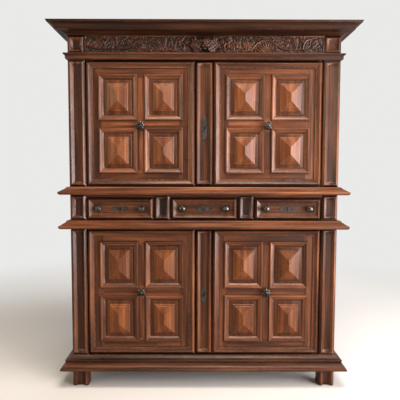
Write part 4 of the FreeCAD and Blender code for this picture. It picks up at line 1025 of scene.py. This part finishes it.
for side, hand in HANDS:
    shape = bmesh.new()
    outer = hand * (FIELD_HALF - GROUND_MARGIN)
    near, far = sorted((hand * MASK_HALF, outer))
    end_near, end_far = sorted((outer, outer - hand * STRIP))
    for left, right, (low, high) in (
            (near, far, HEAD_STRIP), (near, far, FOOT_STRIP),
            (end_near, end_far, (FOOT_STRIP[1] + STRIP_GAP, HEAD_STRIP[0] - STRIP_GAP))):
        slab(shape, (left, FIELD_Y - STRIP, low), (right, FIELD_Y, high))
    border = grained(eased(shape, STRIP_ROUND), "border", STRIP_TONE)
    finish_piece("frieze_border_" + side, border, BODY_OF["frieze_board"], "walnut")
print(f"border strips {STRIP / MM:.0f} mm wide")

# %% [markdown]
# ## The mask
#
# A lion's mask hides the middle of the frieze. It is built up as a carver would block it out:
# skull, brows, muzzle and jaw as rounded lumps, a volute on each side of the crown, lobed leaves
# that spread from the cheeks, and locks of mane between them. It could be sculpted by hand, but
# lumps can be moved one by one until the face is right. A voxel remesh fuses them into one skin.

# %% Lumps and locks
MASK_FOOT = Vector((0.0, FIELD_Y, FIELD_LOW))
egg = bpy.data.meshes.new("egg")
ball = bmesh.new()
bmesh.ops.create_uvsphere(ball, u_segments=16, v_segments=10, radius=1.0)
ball.to_mesh(egg)
ball.free()


def lump(shape, place, size, turn=0.0):
    """An egg on the mask. Place and size are (across, up, forward) in millimetres."""
    count = len(shape.verts)
    shape.from_mesh(egg)
    shape.verts.ensure_lookup_table()
    across, up, forward = place
    wide, tall, deep = size
    egg_frame = (Matrix.Translation(MASK_FOOT + Vector((across, -forward, up)) * MM)
                 @ Matrix.Rotation(math.radians(turn), 4, "Y")
                 @ Matrix.Diagonal((wide * MM, deep * MM, tall * MM, 1.0)))
    bmesh.ops.transform(shape, matrix=egg_frame, verts=shape.verts[count:])


EGG_STEP, EGG_STEP_SHARE = 2.4, 0.6
FLATNESS = 0.8


def walked(stroke):
    """The stroke in steps so small that the eggs laid on it run together."""
    steps = []
    for (spot, radius), (after, wide) in zip(stroke, stroke[1:]):
        step_length = max(EGG_STEP, EGG_STEP_SHARE * radius)
        count = max(1, round((after - spot).length / step_length))
        steps += [(spot.lerp(after, step / count), radius + (wide - radius) * step / count)
                  for step in range(count)]
    return steps + [stroke[-1]]


def curl(shape, stroke, hand, near, far):
    """A band of carved hair or leaf, from near to far out of the ground; hand mirrors it."""
    eggs = walked(stroke)
    for number, (spot, radius) in enumerate(eggs):
        forward = near + (far - near) * number / (len(eggs) - 1)
        lump(shape, (hand * spot.x, spot.y, forward), (radius, radius, radius * FLATNESS))


# %% Leaves and locks of the mask
CHEEK, CHEEK_FORWARD, LEAF_FALL, LEAF_LEAST = 24.0, 25.0, 0.26, 6.0
LOCK_STEPS = 10


def stands_out(spot):
    """How far the mask's leaves stand out: most by the cheeks, least at their tips."""
    return max(LEAF_LEAST, CHEEK_FORWARD - LEAF_FALL * (spot.x - CHEEK))


def lock(base, tip, bend, thick):
    """A stroke from base to tip, fullest near its middle and thin at its tip."""
    at = bowed(base, tip, bend)
    stroke = []
    for step in range(LOCK_STEPS + 1):
        share = step / LOCK_STEPS
        stroke.append((at(share), thick * (0.45 + 1.6 * (share + 0.12) * (1 - share))))
    return stroke


# %% The lion, in millimetres across, up and forward
HEAD = {"skull": ((0, 54, 10), (31, 34, 22)), "forehead": ((0, 70, 22), (20, 14, 13)),
        "muzzle": ((0, 42, 30), (15, 15, 14)), "bridge of the nose": ((0, 53, 37), (7.5, 14, 7)),
        "nose": ((0, 43.5, 45.5), (9.5, 4.6, 5)), "chin": ((0, 25, 24), (11, 6.5, 11))}
PAIRED = {"brow": ((13, 63, 31), (10.5, 4.6, 7), -16), "eye": ((14, 54.5, 28), (6.2, 4.4, 5), 0),
          "cheek": ((20, 46, 20), (9, 13, 10), 12), "lip": ((9, 36.5, 38), (10, 7, 8), 10),
          "ear": ((27, 74, 16), (9, 9, 8), 0), "inner ear": ((27, 74, 22), (5, 5, 4), 0)}
VOLUTE = ((58, 86), 15, 3.5, -100, 1.15, 4.4)
VOLUTE_BED = ((58, 86, 6), (12, 11, 7), 0)
MASK_LEAVES = [((24, 24), (84, 68), -9, 17, 4, 6.6), ((26, 18), (70, 20), -6, 10, 3, 4.6),
               ((34, 58), (86, 92), 8, 9, 3, 4.4)]
VOLUTE_OUT = (12, 22)
CROWN_MIDDLE, CROWN_WIDER = Vector((0, 54)), 1.15
LOCKS, FIRST_LOCK, LOCK_TURN = 6, 12, 21
LOCK_FROM, LOCK_TO, LOCK_BEND, LOCK_THICK, LOCK_OUT = 26, 45, 5, 6.4, (22, 10)
MASK_OVER_FOOT, MASK_UNDER_HEAD, MASK_SUNK = 2 * MM, 1 * MM, 3 * MM
MASK_VOXEL = 1.1 * MM
MASK_CROWN = 0.58


def paired(shape, part, hand):
    """A lump of one side of the face, mirrored by hand."""
    (across, up, forward), size, turn = part
    lump(shape, (hand * across, up, forward), size, hand * turn)


lion = bmesh.new()
for place, size in HEAD.values():
    lump(lion, place, size)
for hand in (-1, 1):
    for part in PAIRED.values():
        paired(lion, part, hand)
    curl(lion, spiral(*VOLUTE), hand, *VOLUTE_OUT)
    paired(lion, VOLUTE_BED, hand)
    for sizes in MASK_LEAVES:
        for stroke in leaf(*sizes):
            curl(lion, stroke, hand, stands_out(stroke[0][0]), stands_out(stroke[-1][0]))
    for number in range(LOCKS):
        angle = math.radians(FIRST_LOCK + LOCK_TURN * number)
        out = Vector((math.sin(angle) * CROWN_WIDER, math.cos(angle)))
        curl(lion, lock(CROWN_MIDDLE + out * LOCK_FROM, CROWN_MIDDLE + out * LOCK_TO, LOCK_BEND,
                        LOCK_THICK), hand, *LOCK_OUT)
for vert in lion.verts:
    vert.co.z = min(max(vert.co.z, FIELD_LOW + MASK_OVER_FOOT), FIELD_HIGH - MASK_UNDER_HEAD)
    vert.co.y = min(vert.co.y, FIELD_Y + MASK_SUNK)
carved = shaded_to_ground(grained(fused(lion, MASK_VOXEL, 2), "mask"), MASK_CROWN)
print(f"mask: {len(carved.faces)} faces")
finish_piece("lion_mask", carved, BODY_OF["frieze_board"], "walnut")

# %% [markdown]
# ## Knobs
#
# The door knobs are forged bosses with eight lobes, riveted through a round rose. The smith upset
# the end of a bar, flattened it, and drove the flutes in with a fuller. The drawer knobs are
# plainer, with a ring behind the head. Both could be built up from balls and rings, but one profile
# spun about its middle gives the whole silhouette at once, and the lobes are pressed in afterwards.

# %% Turning a knob
DOOR_KNOB = [
    (0, 0), (16.5, 0), (17, 1.2), (16, 2.8), (12, 3.6), (9.5, 4.0), (8.0, 6.0), (7.6, 10),
    (9.5, 14), (15, 17.5), (22, 20.5), (26.6, 24.5), (27.6, 28), (26, 31.5), (21, 34.5),
    (14, 36.2), (9, 36.6), (7.6, 37.2), (7.2, 38.6), (5.0, 39.7), (0, 40),
]
DRAWER_KNOB = [
    (0, 0), (12.4, 0), (12.9, 1.0), (12, 2.2), (8, 3.2), (6.2, 4.4), (5.6, 8), (6.4, 11), (9, 12.2),
    (9.4, 13.4), (8.6, 14.4), (13, 16.2), (17.4, 19), (18.9, 22.5), (18, 26.5), (14.5, 30.4),
    (9, 32.8), (4, 33.8), (0, 34),
]
KNOB_STEPS = 48
LOBES = 8
PINCH = 0.26
PINCH_FROM, PINCH_OVER = 10, 10
STEM_END = 12 * MM


def turned(shape, profile, seat, lobed):
    """A knob spun from its profile about the way out from its seat. Tagged points are done."""
    corners = [shape.verts.new((radius * MM, -reach * MM, 0.0)) for radius, reach in profile]
    edges = [shape.edges.new(pair) for pair in zip(corners, corners[1:])]
    bmesh.ops.spin(shape, geom=corners + edges, cent=(0, 0, 0), axis=(0, 1, 0), dvec=(0, 0, 0),
                   angle=2 * math.pi, steps=KNOB_STEPS, use_merge=True, use_duplicate=False)
    bmesh.ops.remove_doubles(shape, verts=[vert for vert in shape.verts if not vert.tag], dist=1e-6)
    for vert in shape.verts:
        if vert.tag:
            continue
        vert.tag = True
        out = math.hypot(vert.co.x, vert.co.z)
        if lobed and out > PINCH_FROM * MM and -vert.co.y > STEM_END:
            flute = 1 - abs(math.cos(LOBES / 2 * math.atan2(vert.co.z, vert.co.x)))
            kept = 1 - PINCH * flute * min(1.0, (out / MM - PINCH_FROM) / PINCH_OVER)
            vert.co.x *= kept
            vert.co.z *= kept
        vert.co += seat


# %% Forging the knobs
RUB, CREST_FROM = 0.8, 0.45
RUBBED_OUT = 20 * MM


def polished(shape, seat, lobed):
    """Marks how much each face of the head is rubbed bright: most on the crests of the lobes."""
    rubbed = shape.faces.layers.float.new("arris")
    for face in shape.faces:
        face.smooth = True
        spot = face.calc_center_median() - seat
        crest = abs(math.cos(LOBES / 2 * math.atan2(spot.z, spot.x))) if lobed else 1.0
        face[rubbed] = RUB * max(0.0, crest - CREST_FROM) if -spot.y > RUBBED_OUT else 0.0


for node in KNOBS:
    low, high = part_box(node)
    door = node.endswith("_knob")
    height, half = (low.z + high.z) / 2, (high.z - low.z) / 2
    places = [(low.x + high.x) / 2] if door else [low.x + half, high.x - half]
    seats = [Vector((across, high.y, height)) for across in places]
    shape = bmesh.new()
    for seat in seats:
        turned(shape, DOOR_KNOB if door else DRAWER_KNOB, seat, door)
    bmesh.ops.recalc_face_normals(shape, faces=shape.faces)
    polished(shape, seats[0], door)
    finish_piece(node + "_forged", shape, BODY_OF[node], "iron", [node])
print(f"{len(KNOBS)} sets of knobs")
